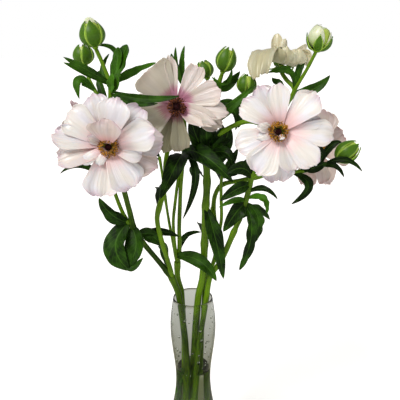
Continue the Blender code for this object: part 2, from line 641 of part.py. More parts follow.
def bloom_sepals(bloom, group):
    """The small green sepals that bend back behind a bloom."""
    normal = Vector(bloom.face).normalized()
    seat = Vector(bloom.centre) - normal * (CORE_HALF_HEIGHT + GAP + RECEPTACLE_DROP)
    return ring_of_sepals(bloom.name, seat, normal, SEPAL_SIZE, SEPAL_TILTS, SEPAL_TURN, RECEPTACLE, group)


def holding_sepals(bud, group):
    """The sepals that still hold the opening bud from below."""
    seat = Vector(bud.base) - Vector(bud.axis) * HOLDING_DROP
    size = HOLDING_SIZE
    return ring_of_sepals(bud.name, seat, bud.axis, size, HOLDING_TILTS, 0, HOLDING_RECEPTACLE, group)


def build_bud(bud, group):
    """A bud: an egg with five lobes, where its sepals or petals meet."""
    turned = Vector(bud.axis).to_track_quat("Z", "Y").to_matrix()
    shape = bmesh.new()
    bmesh.ops.create_uvsphere(shape, u_segments=BUD_SIDES, v_segments=BUD_RINGS, radius=1.0)
    for vert in shape.verts:
        height = min(max(0.5 + 0.5 * vert.co.z, 0.0), 1.0)
        turn = math.atan2(vert.co.y, vert.co.x)
        swell = abs(math.sin(math.pi * height ** BUD_FULLEST)) ** BUD_ROUNDNESS
        across = bud.width / 2 * swell * (1 + BUD_RIBS[bud.kind] * math.cos(SEPALS * turn))
        local = Vector((across * math.cos(turn), across * math.sin(turn), bud.length * height))
        vert.co = (Vector(bud.base) + turned @ local) * MM
    return shaped(bud.name, shape, group, finish(bud.name, BUD_COLOURS[bud.kind], 0.5))


def build_stem(name, plan, group):
    """A cut stem with its branches, its leaves, and the sepals of what it carries."""
    trunk, *branches = [tube(f"{name}_branch_{index}", branch, group)
                        for index, branch in enumerate(plan["branches"])]
    centre_lines = [point for branch in plan["branches"]
                    for point in smooth_route(branch.points, FINE_SPACING)]
    leaves = []
    for index, leaf in enumerate(plan["leaves"]):
        along = 5 if (Vector(leaf.tip) - Vector(leaf.root)).length > LONG_LEAF else 4
        across = 2 if leaf.width > NARROW_LEAF else 1
        surface = leaf_surface(leaf, centre_lines)
        leaves.append(blade(f"{name}_leaf_{index}", surface, across, along, LEAF_THICKNESS, group))
    sepals = carried_sepals([Vector(branch.points[-1]) for branch in plan["branches"]], group)
    return fuse(name, trunk, branches + leaves + sepals, group, finish(name, STEM_GREEN, 0.5))


def carried_sepals(ends, group):
    """The sepals of each bloom and opening bud that sits on one of these stem ends."""
    reach = CORE_HALF_HEIGHT + RECEPTACLE_DROP
    sepals = []
    for bloom in BLOOMS:
        if any((end - Vector(bloom.centre)).length < reach for end in ends):
            sepals += bloom_sepals(bloom, group)
    for bud in BUDS:
        if bud.kind == "opening" and any((end - Vector(bud.base)).length < reach for end in ends):
            sepals += holding_sepals(bud, group)
    return sepals


def vase_radius(height):
    """The outer radius of the vase at a height."""
    if height < BELLY_HEIGHT:
        share = height / BELLY_HEIGHT
        return FOOT_RADIUS + (BELLY_RADIUS - FOOT_RADIUS) * math.sin(math.pi / 2 * share)
    if height < WAIST_HEIGHT:
        share = (height - BELLY_HEIGHT) / (WAIST_HEIGHT - BELLY_HEIGHT)
        return BELLY_RADIUS + (WAIST_RADIUS - BELLY_RADIUS) * (1 - math.cos(math.pi * share)) / 2
    if height < BULGE_HEIGHT:
        share = (height - WAIST_HEIGHT) / (BULGE_HEIGHT - WAIST_HEIGHT)
        return WAIST_RADIUS + (BULGE_RADIUS - WAIST_RADIUS) * (1 - math.cos(math.pi * share)) / 2
    share = (height - BULGE_HEIGHT) / (RIM_HEIGHT - BULGE_HEIGHT)
    return BULGE_RADIUS + (RIM_RADIUS - BULGE_RADIUS) * (1 - math.cos(math.pi / 2 * share))


def turned_solid(name, profile, sides, group, material):
    """A solid of revolution on a profile of (radius, height), from the axis round its outside and back."""
    mesh = bpy.data.meshes.new(name)
    mesh.from_pydata([(radius * MM, 0.0, height * MM) for radius, height in profile],
                     [(index, index + 1) for index in range(len(profile) - 1)], [])
    item = mesh_object(name, mesh, group, material)
    screw = item.modifiers.new("Screw", "SCREW")
    screw.steps = sides
    screw.render_steps = sides
    screw.use_merge_vertices = True
    screw.merge_threshold = MERGE
    screw.use_smooth_shade = True
    return item


def build_vase(group):
    """The glass vase: thin walls, a rounded rim, a rounded foot and a thick floor."""
    above_waist = [RIM_HEIGHT - LIP, (RIM_HEIGHT + BULGE_HEIGHT) / 2, BULGE_HEIGHT,
                   (BULGE_HEIGHT + WAIST_HEIGHT) / 2, WAIST_HEIGHT]
    heights = above_waist + [*SLOPE_HEIGHTS, BELLY_HEIGHT]
    floor = [(0.0, FLOOR), (vase_radius(FLOOR) - WALL - FLOOR_CORNER, FLOOR)]
    inside = [(vase_radius(height) - WALL, height) for height in reversed(heights)]
    lip = [(RIM_RADIUS - WALL / 2, RIM_HEIGHT)]
    outside = [(vase_radius(height), height) for height in heights + [BELLY_HEIGHT / 3]]
    base = [(FOOT_RADIUS, 0.0), (0.0, 0.0)]
    material = finish("vase", GLASS, 0.05, transmission=0.9)
    return turned_solid("vase", floor + inside + lip + outside + base, VASE_SIDES, group, material)


def build_water(group, cutters):
    """The water, with a plain hole where each stem stands in it."""
    inset = WALL + GAP
    heights = [WATER_LEVEL, WAIST_HEIGHT, *SLOPE_HEIGHTS, BELLY_HEIGHT]
    wall = [(vase_radius(height) - inset, height) for height in heights]
    bottom = FLOOR + GAP
    base = [(vase_radius(FLOOR) - inset - FLOOR_CORNER - GAP, bottom), (0.0, bottom)]
    material = finish("water", WATER, 0.05, transmission=0.9)
    water = turned_solid("water", [(0.0, WATER_LEVEL)] + wall + base, WATER_SIDES, group, material)
    for name, plan in STEMS.items():
        trunk = plan["branches"][0]
        hole = tube(name + "_hole", trunk, cutters, extra=GAP, past_start=HOLE_BELOW)
        hole.hide_render = True
        hole.display_type = "WIRE"
    holes = water.modifiers.new("Holes", "BOOLEAN")
    holes.operation = "DIFFERENCE"
    holes.operand_type = "COLLECTION"
    holes.collection = cutters
    holes.solver = "EXACT"
    return water


def main():
    """Build every sub-part."""
    clear_scene()
    group = new_collection("ranunculus_in_vase")
    cutters = new_collection("cutters")
    build_vase(group)
    build_water(group, cutters)
    for name, plan in STEMS.items():
        build_stem(name, plan, group)
    for bloom in BLOOMS:
        build_petals(bloom, group)
        build_centre(bloom, group)
    for bud in BUDS:
        build_bud(bud, group)


main()
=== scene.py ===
"""The finished look of a bunch of butterfly ranunculus in a slim clear glass vase.

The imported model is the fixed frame, and the pieces below take the places of its nodes.
Sizes and places are in millimetres until a mesh is made, and most blooms look towards -Y.
"""

import functools
import logging
import math
from collections.abc import Iterable
from dataclasses import dataclass, field
from enum import Enum
from typing import ClassVar

import bmesh
import bpy
import numpy as np
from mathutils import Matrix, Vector


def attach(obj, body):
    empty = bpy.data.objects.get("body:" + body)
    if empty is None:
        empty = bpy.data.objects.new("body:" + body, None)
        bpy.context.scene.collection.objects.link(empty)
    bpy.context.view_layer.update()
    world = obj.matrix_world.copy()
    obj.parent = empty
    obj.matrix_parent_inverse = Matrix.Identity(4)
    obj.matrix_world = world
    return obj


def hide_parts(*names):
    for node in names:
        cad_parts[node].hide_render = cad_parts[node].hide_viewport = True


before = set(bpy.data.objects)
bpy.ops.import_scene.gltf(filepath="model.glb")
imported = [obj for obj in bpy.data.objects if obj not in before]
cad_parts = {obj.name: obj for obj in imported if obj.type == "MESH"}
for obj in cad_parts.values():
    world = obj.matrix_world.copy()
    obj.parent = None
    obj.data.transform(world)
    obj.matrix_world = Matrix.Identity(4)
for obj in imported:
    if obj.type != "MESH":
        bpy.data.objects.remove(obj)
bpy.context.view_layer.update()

LOG = logging.getLogger("ranunculus")
MM = 0.001
BODY = "root"

Point = tuple[float, float, float]
Place = Point | np.ndarray
Colour = tuple[float, float, float, float]
Settings = dict[str | int, object]
Links = dict[str | int, bpy.types.NodeSocket]

WHITE: Colour = (1.0, 1.0, 1.0, 1.0)
GOLDEN_ANGLE = math.pi * (3 - math.sqrt(5))


def linear(hex_code: str) -> Colour:
    """Turns an sRGB hex value into the linear colour that a shader takes.

    Args:
        hex_code: a value such as "#E8DCD6".

    Returns:
        Red, green, blue and an alpha of 1.
    """
    channels = [int(hex_code[place:place + 2], 16) / 255 for place in (1, 3, 5)]
    red, green, blue = (c / 12.92 if c <= 0.04045 else ((c + 0.055) / 1.055) ** 2.4 for c in channels)
    return red, green, blue, 1.0


def set_up(tree: bpy.types.NodeTree, node: bpy.types.Node, settings: Settings,
           links: Links | None = None) -> None:
    """Gives a node its settings and links.

    Args:
        tree: the node tree that holds it.
        node: the node.
        settings: values by property name, or by input name or number.
        links: sockets to link from, by input name or number.
    """
    for name, value in settings.items():
        if isinstance(name, str) and hasattr(node, name):
            setattr(node, name, value)
        else:
            node.inputs[name].default_value = value
    for name, socket in (links or {}).items():
        tree.links.new(socket, node.inputs[name])


def add_node(tree: bpy.types.NodeTree, kind: str, settings: Settings,
             links: Links | None = None) -> bpy.types.Node:
    """Adds a node with its settings and links.

    Args:
        tree: the node tree to add it to.
        kind: the node's type.
        settings: values by property name, or by input name or number.
        links: sockets to link from, by input name or number.

    Returns:
        The new node.
    """
    node = tree.nodes.new(kind)
    set_up(tree, node, settings, links)
    return node


@dataclass(frozen=True)
class Finish:
    """What a surface is made of. Each kind of finish adds its nodes in paint."""

    name: str

    def paint(self, tree: bpy.types.NodeTree, shader: bpy.types.Node) -> None:
        """Sets the shader and links the pattern's nodes to it.

        Args:
            tree: the material's node tree.
            shader: its Principled BSDF.
        """


@functools.cache
def material_of(finish: Finish) -> bpy.types.Material:
    """The material of a finish, made once.

    Args:
        finish: the finish to make.

    Returns:
        The material, named for the finish.
    """
    material = bpy.data.materials.new(finish.name)
    material.use_nodes = True
    finish.paint(material.node_tree, material.node_tree.nodes["Principled BSDF"])
    return material


@dataclass(frozen=True)
class PetalTissue(Finish):
    """Living petal: thin silky cells in rows that fan out from the base, so light streaks along them.

    The blush starts and ends at shares of the petal's length, and the rim's colour starts at a share
    of the way out to its edge.
    """

    body: str = "#EFE7E3"
    cool: str = "#EAE6EE"
    base: str = "#F0C9C4"
    edge: str = "#D9AFBB"
    # Multiplied in by a petal's shade and age: painted shade for petals in shadow, and a duller colour for
    # older ones
    shade_and_age_tint: str = "#C9CBBF"
    base_start: float = 0.10
    base_end: float = 0.46
    base_strength: float = 0.9
    base_wander: float = 0.30
    edge_start: float = 0.80
    edge_strength: float = 0.6
    vein_spacing: float = 0.7
    typical_width: float = 24.0
    silk_relief: float = 0.5
    scatter: float = 0.8

    def paint(self, tree: bpy.types.NodeTree, shader: bpy.types.Node) -> None:
        """Blush at the base, a fine coloured rim and silky streaks between.

        Args:
            tree: the material's node tree.
            shader: its Principled BSDF.
        """
        along, across, tone, rim, age = (
            add_node(tree, "ShaderNodeAttribute", {"attribute_name": name}).outputs["Fac"]
            for name in ("along", "across", "tone", "rim", "age"))
        place = add_node(tree, "ShaderNodeCombineXYZ", {}, {"X": across, "Y": along, "Z": tone})

        # Noise drawn out along the petal: rows of cells, wider bands and broad clouds
        rows = self.typical_width / self.vein_spacing / 2
        noises = []
        for stretch, detail, roughness in (((rows, 1.6, 30.0), 3.0, 0.62),
                                           ((rows / 4, 1.1, 23.0), 2.0, 0.5),
                                           ((1.3, 1.6, 17.0), 2.0, 0.5)):
            drawn_out = add_node(tree, "ShaderNodeMapping", {"Scale": stretch}, {"Vector": place.outputs[0]})
            noise = add_node(tree, "ShaderNodeTexNoise",
                             {"Scale": 1.0, "Detail": detail, "Roughness": roughness},
                             {"Vector": drawn_out.outputs[0]})
            noises.append(noise.outputs["Fac"])
        cells, bands, clouds = noises

        # White that is cooler in the clouds, and a blush whose end wanders with the cells
        cooler = add_node(tree, "ShaderNodeMapRange", {"From Min": 0.42, "From Max": 0.62}, {"Value": clouds})
        white = add_node(tree, "ShaderNodeMix",
                         {"data_type": "RGBA", 6: linear(self.body), 7: linear(self.cool)},
                         {0: cooler.outputs[0]})
        ragged = add_node(tree, "ShaderNodeMath", {"operation": "MULTIPLY_ADD", 1: -self.base_wander},
                          {0: cells, 2: along})
        blush = add_node(tree, "ShaderNodeMapRange",
                         {"interpolation_type": "SMOOTHSTEP",
                          "From Min": self.base_start - self.base_wander / 2,
                          "From Max": self.base_end - self.base_wander / 2,
                          "To Min": self.base_strength, "To Max": 0.0}, {"Value": ragged.outputs[0]})
        blushed = add_node(tree, "ShaderNodeMix", {"data_type": "RGBA", 7: linear(self.base)},
                           {0: blush.outputs[0], 6: white.outputs[2]})

        # A rim whose colour comes and goes
        fine_rim = add_node(tree, "ShaderNodeMapRange",
                            {"interpolation_type": "SMOOTHSTEP", "From Min": self.edge_start,
                             "From Max": 1.0, "To Min": 0.0, "To Max": self.edge_strength}, {"Value": rim})
        patches = add_node(tree, "ShaderNodeMapRange", {"From Min": 0.35, "From Max": 0.6}, {"Value": clouds})
        patchy = add_node(tree, "ShaderNodeMath", {"operation": "MULTIPLY"},
                          {0: fine_rim.outputs[0], 1: patches.outputs[0]})
        rimmed = add_node(tree, "ShaderNodeMix", {"data_type": "RGBA", 7: linear(self.edge)},
                          {0: patchy.outputs[0], 6: blushed.outputs[2]})

        # Silky streaks in the colour, the gloss and the relief, and painted shade with age: each petal's
        # shade and age darken and dull its colour, for petals that lie in shadow and for older ones
        weave = add_node(tree, "ShaderNodeMath", {"operation": "MULTIPLY_ADD", 1: 0.45}, {0: cells, 2: bands})
        streaks, gloss = (
            add_node(tree, "ShaderNodeMapRange",
                     {"From Min": 0.45, "From Max": 1.0, "To Min": low, "To Max": high},
                     {"Value": weave.outputs[0]}).outputs[0]
            for low, high in ((0.92, 1.05), (0.32, 0.50)))
        shaded = add_node(tree, "ShaderNodeHueSaturation", {}, {"Value": streaks, "Color": rimmed.outputs[2]})
        shaded_and_aged = add_node(tree, "ShaderNodeMix",
                          {"data_type": "RGBA", "blend_type": "MULTIPLY", "clamp_factor": False,
                           7: linear(self.shade_and_age_tint)}, {0: age, 6: shaded.outputs[0]})
        relief = add_node(tree, "ShaderNodeBump", {"Strength": 0.8, "Distance": self.silk_relief * MM},
                          {"Height": weave.outputs[0]})
        set_up(tree, shader,
               {"IOR": 1.42, "Sheen Weight": 0.12, "Sheen Roughness": 0.35, "Coat Weight": 0.7,
                "Coat Roughness": 0.28, "Coat IOR": 1.45, "Subsurface Weight": 0.25,
                "Subsurface Radius": (1.0, 0.7, 0.6), "Subsurface Scale": self.scatter * MM},
               {"Base Color": shaded_and_aged.outputs[2], "Roughness": gloss, "Normal": relief.outputs[0]})


@dataclass(frozen=True)
class LeafTissue(Finish):
    """Living leaf: waxy and dark above, duller and paler below, with a pale midrib and side veins."""

    dark: str = "#0B1E02"
    mid: str = "#3D6E0C"
    vein: str = "#578626"
    roughness: float = 0.42
    side_veins: float = 9.0
    side_vein_slant: float = 2.6
    side_vein_strength: float = 0.18
    midrib_strength: float = 0.30
    mottle_size: float = 9.0
    grain_size: float = 0.8
    relief_height: float = 0.25

    def paint(self, tree: bpy.types.NodeTree, shader: bpy.types.Node) -> None:
        """A midrib and slanted side veins on mottled green.

        Args:
            tree: the material's node tree.
            shader: its Principled BSDF.
        """
        along, across, tone = (
            add_node(tree, "ShaderNodeAttribute", {"attribute_name": name}).outputs["Fac"]
            for name in ("along", "across", "tone"))
        aside = add_node(tree, "ShaderNodeMath", {"operation": "ABSOLUTE"}, {0: across}).outputs[0]
        spots = add_node(tree, "ShaderNodeTexCoord", {}).outputs["Object"]
        mottle, grain = (
            add_node(tree, "ShaderNodeTexNoise", {"Scale": 1 / (size * MM), "Detail": detail},
                     {"Vector": spots}).outputs["Fac"]
            for size, detail in ((self.mottle_size, 4.0), (self.grain_size, 2.0)))
        # The tone carries painted shade by the leaf's height as well as each leaf's own lighter or darker
        # green
        depth = add_node(tree, "ShaderNodeMath", {"operation": "MULTIPLY_ADD", 1: 0.8, 2: -0.3}, {0: tone})
        shade = add_node(tree, "ShaderNodeMath", {"operation": "ADD"}, {0: mottle, 1: depth.outputs[0]})
        lightness = add_node(tree, "ShaderNodeMapRange", {"From Min": 0.25, "From Max": 0.95},
                             {"Value": shade.outputs[0]})
        green = add_node(tree, "ShaderNodeMix",
                         {"data_type": "RGBA", 6: linear(self.dark), 7: linear(self.mid)},
                         {0: lightness.outputs[0]})

        # Side veins slant towards the tip and waver with the mottling
        slant = add_node(tree, "ShaderNodeMath", {"operation": "MULTIPLY", 1: -self.side_vein_slant},
                         {0: aside})
        run = add_node(tree, "ShaderNodeMath", {"operation": "MULTIPLY_ADD", 1: self.side_veins},
                       {0: along, 2: slant.outputs[0]})
        wavy = add_node(tree, "ShaderNodeMath", {"operation": "MULTIPLY_ADD", 1: 0.5},
                        {0: mottle, 2: run.outputs[0]})
        comb = add_node(tree, "ShaderNodeMath", {"operation": "PINGPONG", 1: 0.5}, {0: wavy.outputs[0]})
        side, midrib = (
            add_node(tree, "ShaderNodeMapRange",
                     {"interpolation_type": "SMOOTHSTEP", "From Min": near, "From Max": far,
                      "To Min": strength, "To Max": 0.0}, {"Value": distance}).outputs[0]
            for distance, near, far, strength in ((comb.outputs[0], 0.0, 0.09, self.side_vein_strength),
                                                  (aside, 0.02, 0.10, self.midrib_strength)))
        veins = add_node(tree, "ShaderNodeMath", {"operation": "MAXIMUM"}, {0: side, 1: midrib})
        colour = add_node(tree, "ShaderNodeMix", {"data_type": "RGBA", 7: linear(self.vein)},
                          {0: veins.outputs[0], 6: green.outputs[2]})
        height = add_node(tree, "ShaderNodeMath", {"operation": "MULTIPLY_ADD", 1: -1.0},
                          {0: veins.outputs[0], 2: grain})
        relief = add_node(tree, "ShaderNodeBump", {"Strength": 0.5, "Distance": self.relief_height * MM},
                          {"Height": height.outputs[0]})
        gloss = add_node(tree, "ShaderNodeMapRange",
                         {"To Min": self.roughness - 0.08, "To Max": self.roughness + 0.14},
                         {"Value": mottle})
        set_up(tree, shader, {"IOR": 1.45, "Specular IOR Level": 0.15},
               {"Base Color": colour.outputs[2], "Roughness": gloss.outputs[0],
                "Normal": relief.outputs[0]})


@dataclass(frozen=True)
class StemTissue(Finish):
    """Fleshy green stem: fine ribs along it, glossy, and painted light that makes it lighter below the water.
    """

    dark: str = "#223B03"
    light: str = "#739C10"
    rib_strength: float = 0.14
    cloud_size: float = 22.0
    grain_size: float = 1.2
    relief_height: float = 0.15
    scatter: float = 1.0

    def paint(self, tree: bpy.types.NodeTree, shader: bpy.types.Node) -> None:
        """Ribs that run along the stem over slow changes of green.

        Args:
            tree: the material's node tree.
            shader: its Principled BSDF.
        """
        rib, tone = (
            add_node(tree, "ShaderNodeAttribute", {"attribute_name": name}).outputs["Fac"]
            for name in ("rib", "tone"))
        spots = add_node(tree, "ShaderNodeTexCoord", {}).outputs["Object"]
        cloud, grain = (
            add_node(tree, "ShaderNodeTexNoise", {"Scale": 1 / (size * MM), "Detail": detail},
                     {"Vector": spots}).outputs["Fac"]
            for size, detail in ((self.cloud_size, 3.0), (self.grain_size, 2.0)))
        shade = add_node(tree, "ShaderNodeMath", {"operation": "MULTIPLY_ADD", 1: self.rib_strength},
                         {0: rib, 2: cloud})
        # The tone carries the painted light below the water as well as each branch's own green
        toned = add_node(tree, "ShaderNodeMath", {"operation": "ADD"}, {0: shade.outputs[0], 1: tone})
        lightness = add_node(tree, "ShaderNodeMapRange", {"From Min": 0.35, "From Max": 1.25},
                             {"Value": toned.outputs[0]})
        colour = add_node(tree, "ShaderNodeMix",
                          {"data_type": "RGBA", 6: linear(self.dark), 7: linear(self.light)},
                          {0: lightness.outputs[0]})
        relief = add_node(tree, "ShaderNodeBump", {"Strength": 0.35, "Distance": self.relief_height * MM},
                          {"Height": grain})
        set_up(tree, shader,
               {"Roughness": 0.38, "IOR": 1.45, "Specular IOR Level": 0.22, "Subsurface Weight": 0.12,
                "Subsurface Radius": (0.5, 1.0, 0.2), "Subsurface Scale": self.scatter * MM},
               {"Base Color": colour.outputs[2], "Normal": relief.outputs[0]})


@dataclass(frozen=True)
class SepalTissue(Finish):
    """Bud sepal: satin green, darkest along its middle, with a thin pale lime margin.

    The margin starts and ends by how far across the sepal it is, from 0 to 1, and its fine lines add
    up to a half to that.
    """

    middle: str = "#43690C"
    margin: str = "#93B440"
    margin_start: float = 0.90
    margin_end: float = 1.2
    relief_height: float = 0.2
    scatter: float = 1.0

    def paint(self, tree: bpy.types.NodeTree, shader: bpy.types.Node) -> None:
        """Green that pales from the keel to the margin, with fine lines along it.

        Args:
            tree: the material's node tree.
            shader: its Principled BSDF.
        """
        along, across = (
            add_node(tree, "ShaderNodeAttribute", {"attribute_name": name}).outputs["Fac"]
            for name in ("along", "across"))
        aside = add_node(tree, "ShaderNodeMath", {"operation": "ABSOLUTE"}, {0: across})
        place = add_node(tree, "ShaderNodeCombineXYZ", {}, {"X": across, "Y": along})
        fanned = add_node(tree, "ShaderNodeMapping", {"Scale": (9.0, 1.5, 1.0)}, {"Vector": place.outputs[0]})
        lines = add_node(tree, "ShaderNodeTexNoise", {"Scale": 1.0, "Detail": 3.0},
                         {"Vector": fanned.outputs[0]}).outputs["Fac"]
        spread = add_node(tree, "ShaderNodeMath", {"operation": "MULTIPLY_ADD", 1: 0.5},
                          {0: lines, 2: aside.outputs[0]})
        pale = add_node(tree, "ShaderNodeMapRange",
                        {"interpolation_type": "SMOOTHSTEP", "From Min": self.margin_start,
                         "From Max": self.margin_end}, {"Value": spread.outputs[0]})
        colour = add_node(tree, "ShaderNodeMix",
                          {"data_type": "RGBA", 6: linear(self.middle), 7: linear(self.margin)},
                          {0: pale.outputs[0]})
        relief = add_node(tree, "ShaderNodeBump", {"Strength": 0.4, "Distance": self.relief_height * MM},
                          {"Height": lines})
        set_up(tree, shader,
               {"Roughness": 0.42, "IOR": 1.45, "Specular IOR Level": 0.3, "Subsurface Weight": 0.15,
                "Subsurface Radius": (0.5, 1.0, 0.2), "Subsurface Scale": self.scatter * MM},
               {"Base Color": colour.outputs[2], "Normal": relief.outputs[0]})


@dataclass(frozen=True)
class Pollen(Finish):
    """Anthers dusted with pollen: matte and brown, on filaments of another colour.

    Real grains are too fine to show, so they are drawn half a millimetre across.
    """

    filament: str = "#8A8A1E"
    anther: str = "#6B3A0C"
    dust: str = "#C48A1C"
    grain_size: float = 0.5
    grain_height: float = 0.1

    def paint(self, tree: bpy.types.NodeTree, shader: bpy.types.Node) -> None:
        """Grains of pollen over the anther's brown, and the filament's colour towards the foot.

        Args:
            tree: the material's node tree.
            shader: its Principled BSDF.
        """
        along, ripe = (
            add_node(tree, "ShaderNodeAttribute", {"attribute_name": name}).outputs["Fac"]
            for name in ("along", "tone"))
        spots = add_node(tree, "ShaderNodeTexCoord", {}).outputs["Object"]
        grains = add_node(tree, "ShaderNodeTexNoise", {"Scale": 1 / (self.grain_size * MM), "Detail": 3.0},
                          {"Vector": spots}).outputs["Fac"]
        shed = add_node(tree, "ShaderNodeMath", {"operation": "ADD"}, {0: grains, 1: ripe})
        cover = add_node(tree, "ShaderNodeMapRange", {"From Min": 0.6, "From Max": 1.25},
                         {"Value": shed.outputs[0]})
        dusted = add_node(tree, "ShaderNodeMix",
                          {"data_type": "RGBA", 6: linear(self.anther), 7: linear(self.dust)},
                          {0: cover.outputs[0]})
        head = add_node(tree, "ShaderNodeMapRange", {"From Min": 0.4, "From Max": 0.6}, {"Value": along})
        colour = add_node(tree, "ShaderNodeMix", {"data_type": "RGBA", 6: linear(self.filament)},
                          {0: head.outputs[0], 7: dusted.outputs[2]})
        relief = add_node(tree, "ShaderNodeBump", {"Strength": 0.6, "Distance": self.grain_height * MM},
                          {"Height": grains})
        set_up(tree, shader, {"Roughness": 0.82},
               {"Base Color": colour.outputs[2], "Normal": relief.outputs[0]})


@dataclass(frozen=True)
class Carpels(Finish):
    """The crowded seed cases: nearly black maroon with a soft gloss on each tip."""

    deep: str = "#1C0608"
    bright: str = "#4A1418"
    case_size: float = 1.2

    def paint(self, tree: bpy.types.NodeTree, shader: bpy.types.Node) -> None:
        """Maroon that is lighter on some of the cases.

        Args:
            tree: the material's node tree.
            shader: its Principled BSDF.
        """
        spots = add_node(tree, "ShaderNodeTexCoord", {}).outputs["Object"]
        cases = add_node(tree, "ShaderNodeTexNoise", {"Scale": 1 / (self.case_size * MM), "Detail": 2.0},
                         {"Vector": spots})
        lighter = add_node(tree, "ShaderNodeMapRange", {"From Min": 0.4, "From Max": 0.7},
                           {"Value": cases.outputs["Fac"]})
        colour = add_node(tree, "ShaderNodeMix",
                          {"data_type": "RGBA", 6: linear(self.deep), 7: linear(self.bright)},
                          {0: lighter.outputs[0]})
        set_up(tree, shader, {"Roughness": 0.42, "Specular IOR Level": 0.2},
               {"Base Color": colour.outputs[2]})


@dataclass(frozen=True)
class BlownGlass(Finish):
    """Blown soda glass: clear, faintly grey green where it is thick, fire polished at the rim."""

    tint: str = "#BFC1B8"
    density: float = 60.0
    ripple_size: float = 30.0
    ripple_height: float = 1.0

    def paint(self, tree: bpy.types.NodeTree, shader: bpy.types.Node) -> None:
        """Slow ripples a few centimetres long that blowing leaves in the wall, and grey in its depth.

        Args:
            tree: the material's node tree.
            shader: its Principled BSDF.
        """
        spots = add_node(tree, "ShaderNodeTexCoord", {}).outputs["Object"]
        ripples = add_node(tree, "ShaderNodeTexNoise",
                           {"Scale": 1 / (self.ripple_size * MM), "Detail": 1.0}, {"Vector": spots})
        relief = add_node(tree, "ShaderNodeBump", {"Strength": 0.12, "Distance": self.ripple_height * MM},
                          {"Height": ripples.outputs["Fac"]})
        depth = add_node(tree, "ShaderNodeVolumeAbsorption",
                         {"Color": linear(self.tint), "Density": self.density})
        set_up(tree, tree.nodes["Material Output"], {}, {"Volume": depth.outputs[0]})
        set_up(tree, shader,
               {"Base Color": WHITE, "Roughness": 0.0, "IOR": 1.50,
                "Specular Tint": (0.18, 0.18, 0.18, 1.0), "Transmission Weight": 1.0},
               {"Normal": relief.outputs[0]})


@dataclass(frozen=True)
class TapWater(Finish):
    """Water that stems have stood in: clear, with a slight green cast."""

    tint: str = "#A2C22E"
    density: float = 17.0

    def paint(self, tree: bpy.types.NodeTree, shader: bpy.types.Node) -> None:
        """Smooth and clear: the look comes from its refraction and from green in its depth.

        Args:
            tree: the material's node tree.
            shader: its Principled BSDF.
        """
        depth = add_node(tree, "ShaderNodeVolumeAbsorption",
                         {"Color": linear(self.tint), "Density": self.density})
        set_up(tree, tree.nodes["Material Output"], {}, {"Volume": depth.outputs[0]})
        set_up(tree, shader,
               {"Base Color": WHITE, "Roughness": 0.0, "IOR": 1.333,
                "Specular Tint": (0.9, 0.9, 0.9, 1.0), "Transmission Weight": 1.0})


@dataclass(frozen=True)
class StudioPaper(Finish):
    """Matte white background paper."""

    white: str = "#F7F6F4"
    glow: float = 0.40

    def paint(self, tree: bpy.types.NodeTree, shader: bpy.types.Node) -> None:
        """No gloss, and lit a little from below as on a light table."""
        set_up(tree, shader, {"Base Color": linear(self.white), "Emission Color": WHITE,
                              "Emission Strength": self.glow, "Roughness": 0.9, "Specular IOR Level": 0.2})


WHITE_PINK = PetalTissue("petal_tissue_white_pink", body="#DDD8D3", cool="#DCDAE0", base="#E6BBBD",
                         edge="#BE93A8", shade_and_age_tint="#D6C3BC", base_start=0.14, base_end=0.62, edge_strength=0.45)
SHADED_MAUVE = PetalTissue("petal_tissue_mauve", body="#DDD2C9", cool="#DED3D0", base="#C4869F",
                           edge="#C4A3A2", base_start=0.24, base_end=0.42, base_strength=1.0,
                           edge_strength=0.3)
BACK_MAUVE = PetalTissue("petal_tissue_dusky", body="#CFC0B7", cool="#CDBEBB", base="#C09296",
                         edge="#B89496")
CREAM = PetalTissue("petal_tissue_cream", body="#D2CBA8", cool="#D8D4BC", base="#BFC18A", edge="#C8BA9C",
                    base_strength=0.7, edge_strength=0.3)
BUD_PETAL = PetalTissue("petal_tissue_bud", body="#DEE2C2", cool="#D4DDB8", base="#A3BC62", edge="#DAD8BC",
                        base_start=0.05, base_end=0.7, edge_strength=0.2)
LIME_PETAL = PetalTissue("petal_tissue_lime", body="#A6C23C", cool="#B6CC52", base="#8CB030", edge="#C6D68A",
                         base_strength=0.6, edge_strength=0.5)
LEAF_FACE = LeafTissue("leaf_tissue_face")
LEAF_BACK = LeafTissue("leaf_tissue_underside", dark="#1F3A12", mid="#4A7323", vein="#6B8F42", roughness=0.5)
STEM = StemTissue("stem_tissue")
SEPAL = SepalTissue("sepal_tissue")
GOLD_POLLEN = Pollen("pollen_gold")
DARK_POLLEN = Pollen("pollen_russet", filament="#4A1214", anther="#3A0E0C", dust="#7E4416")
CARPELS = Carpels("carpel_tissue")
GLASS = BlownGlass("soda_glass_blown")
WATER = TapWater("water_tap")
PAPER = StudioPaper("background_paper_matte")


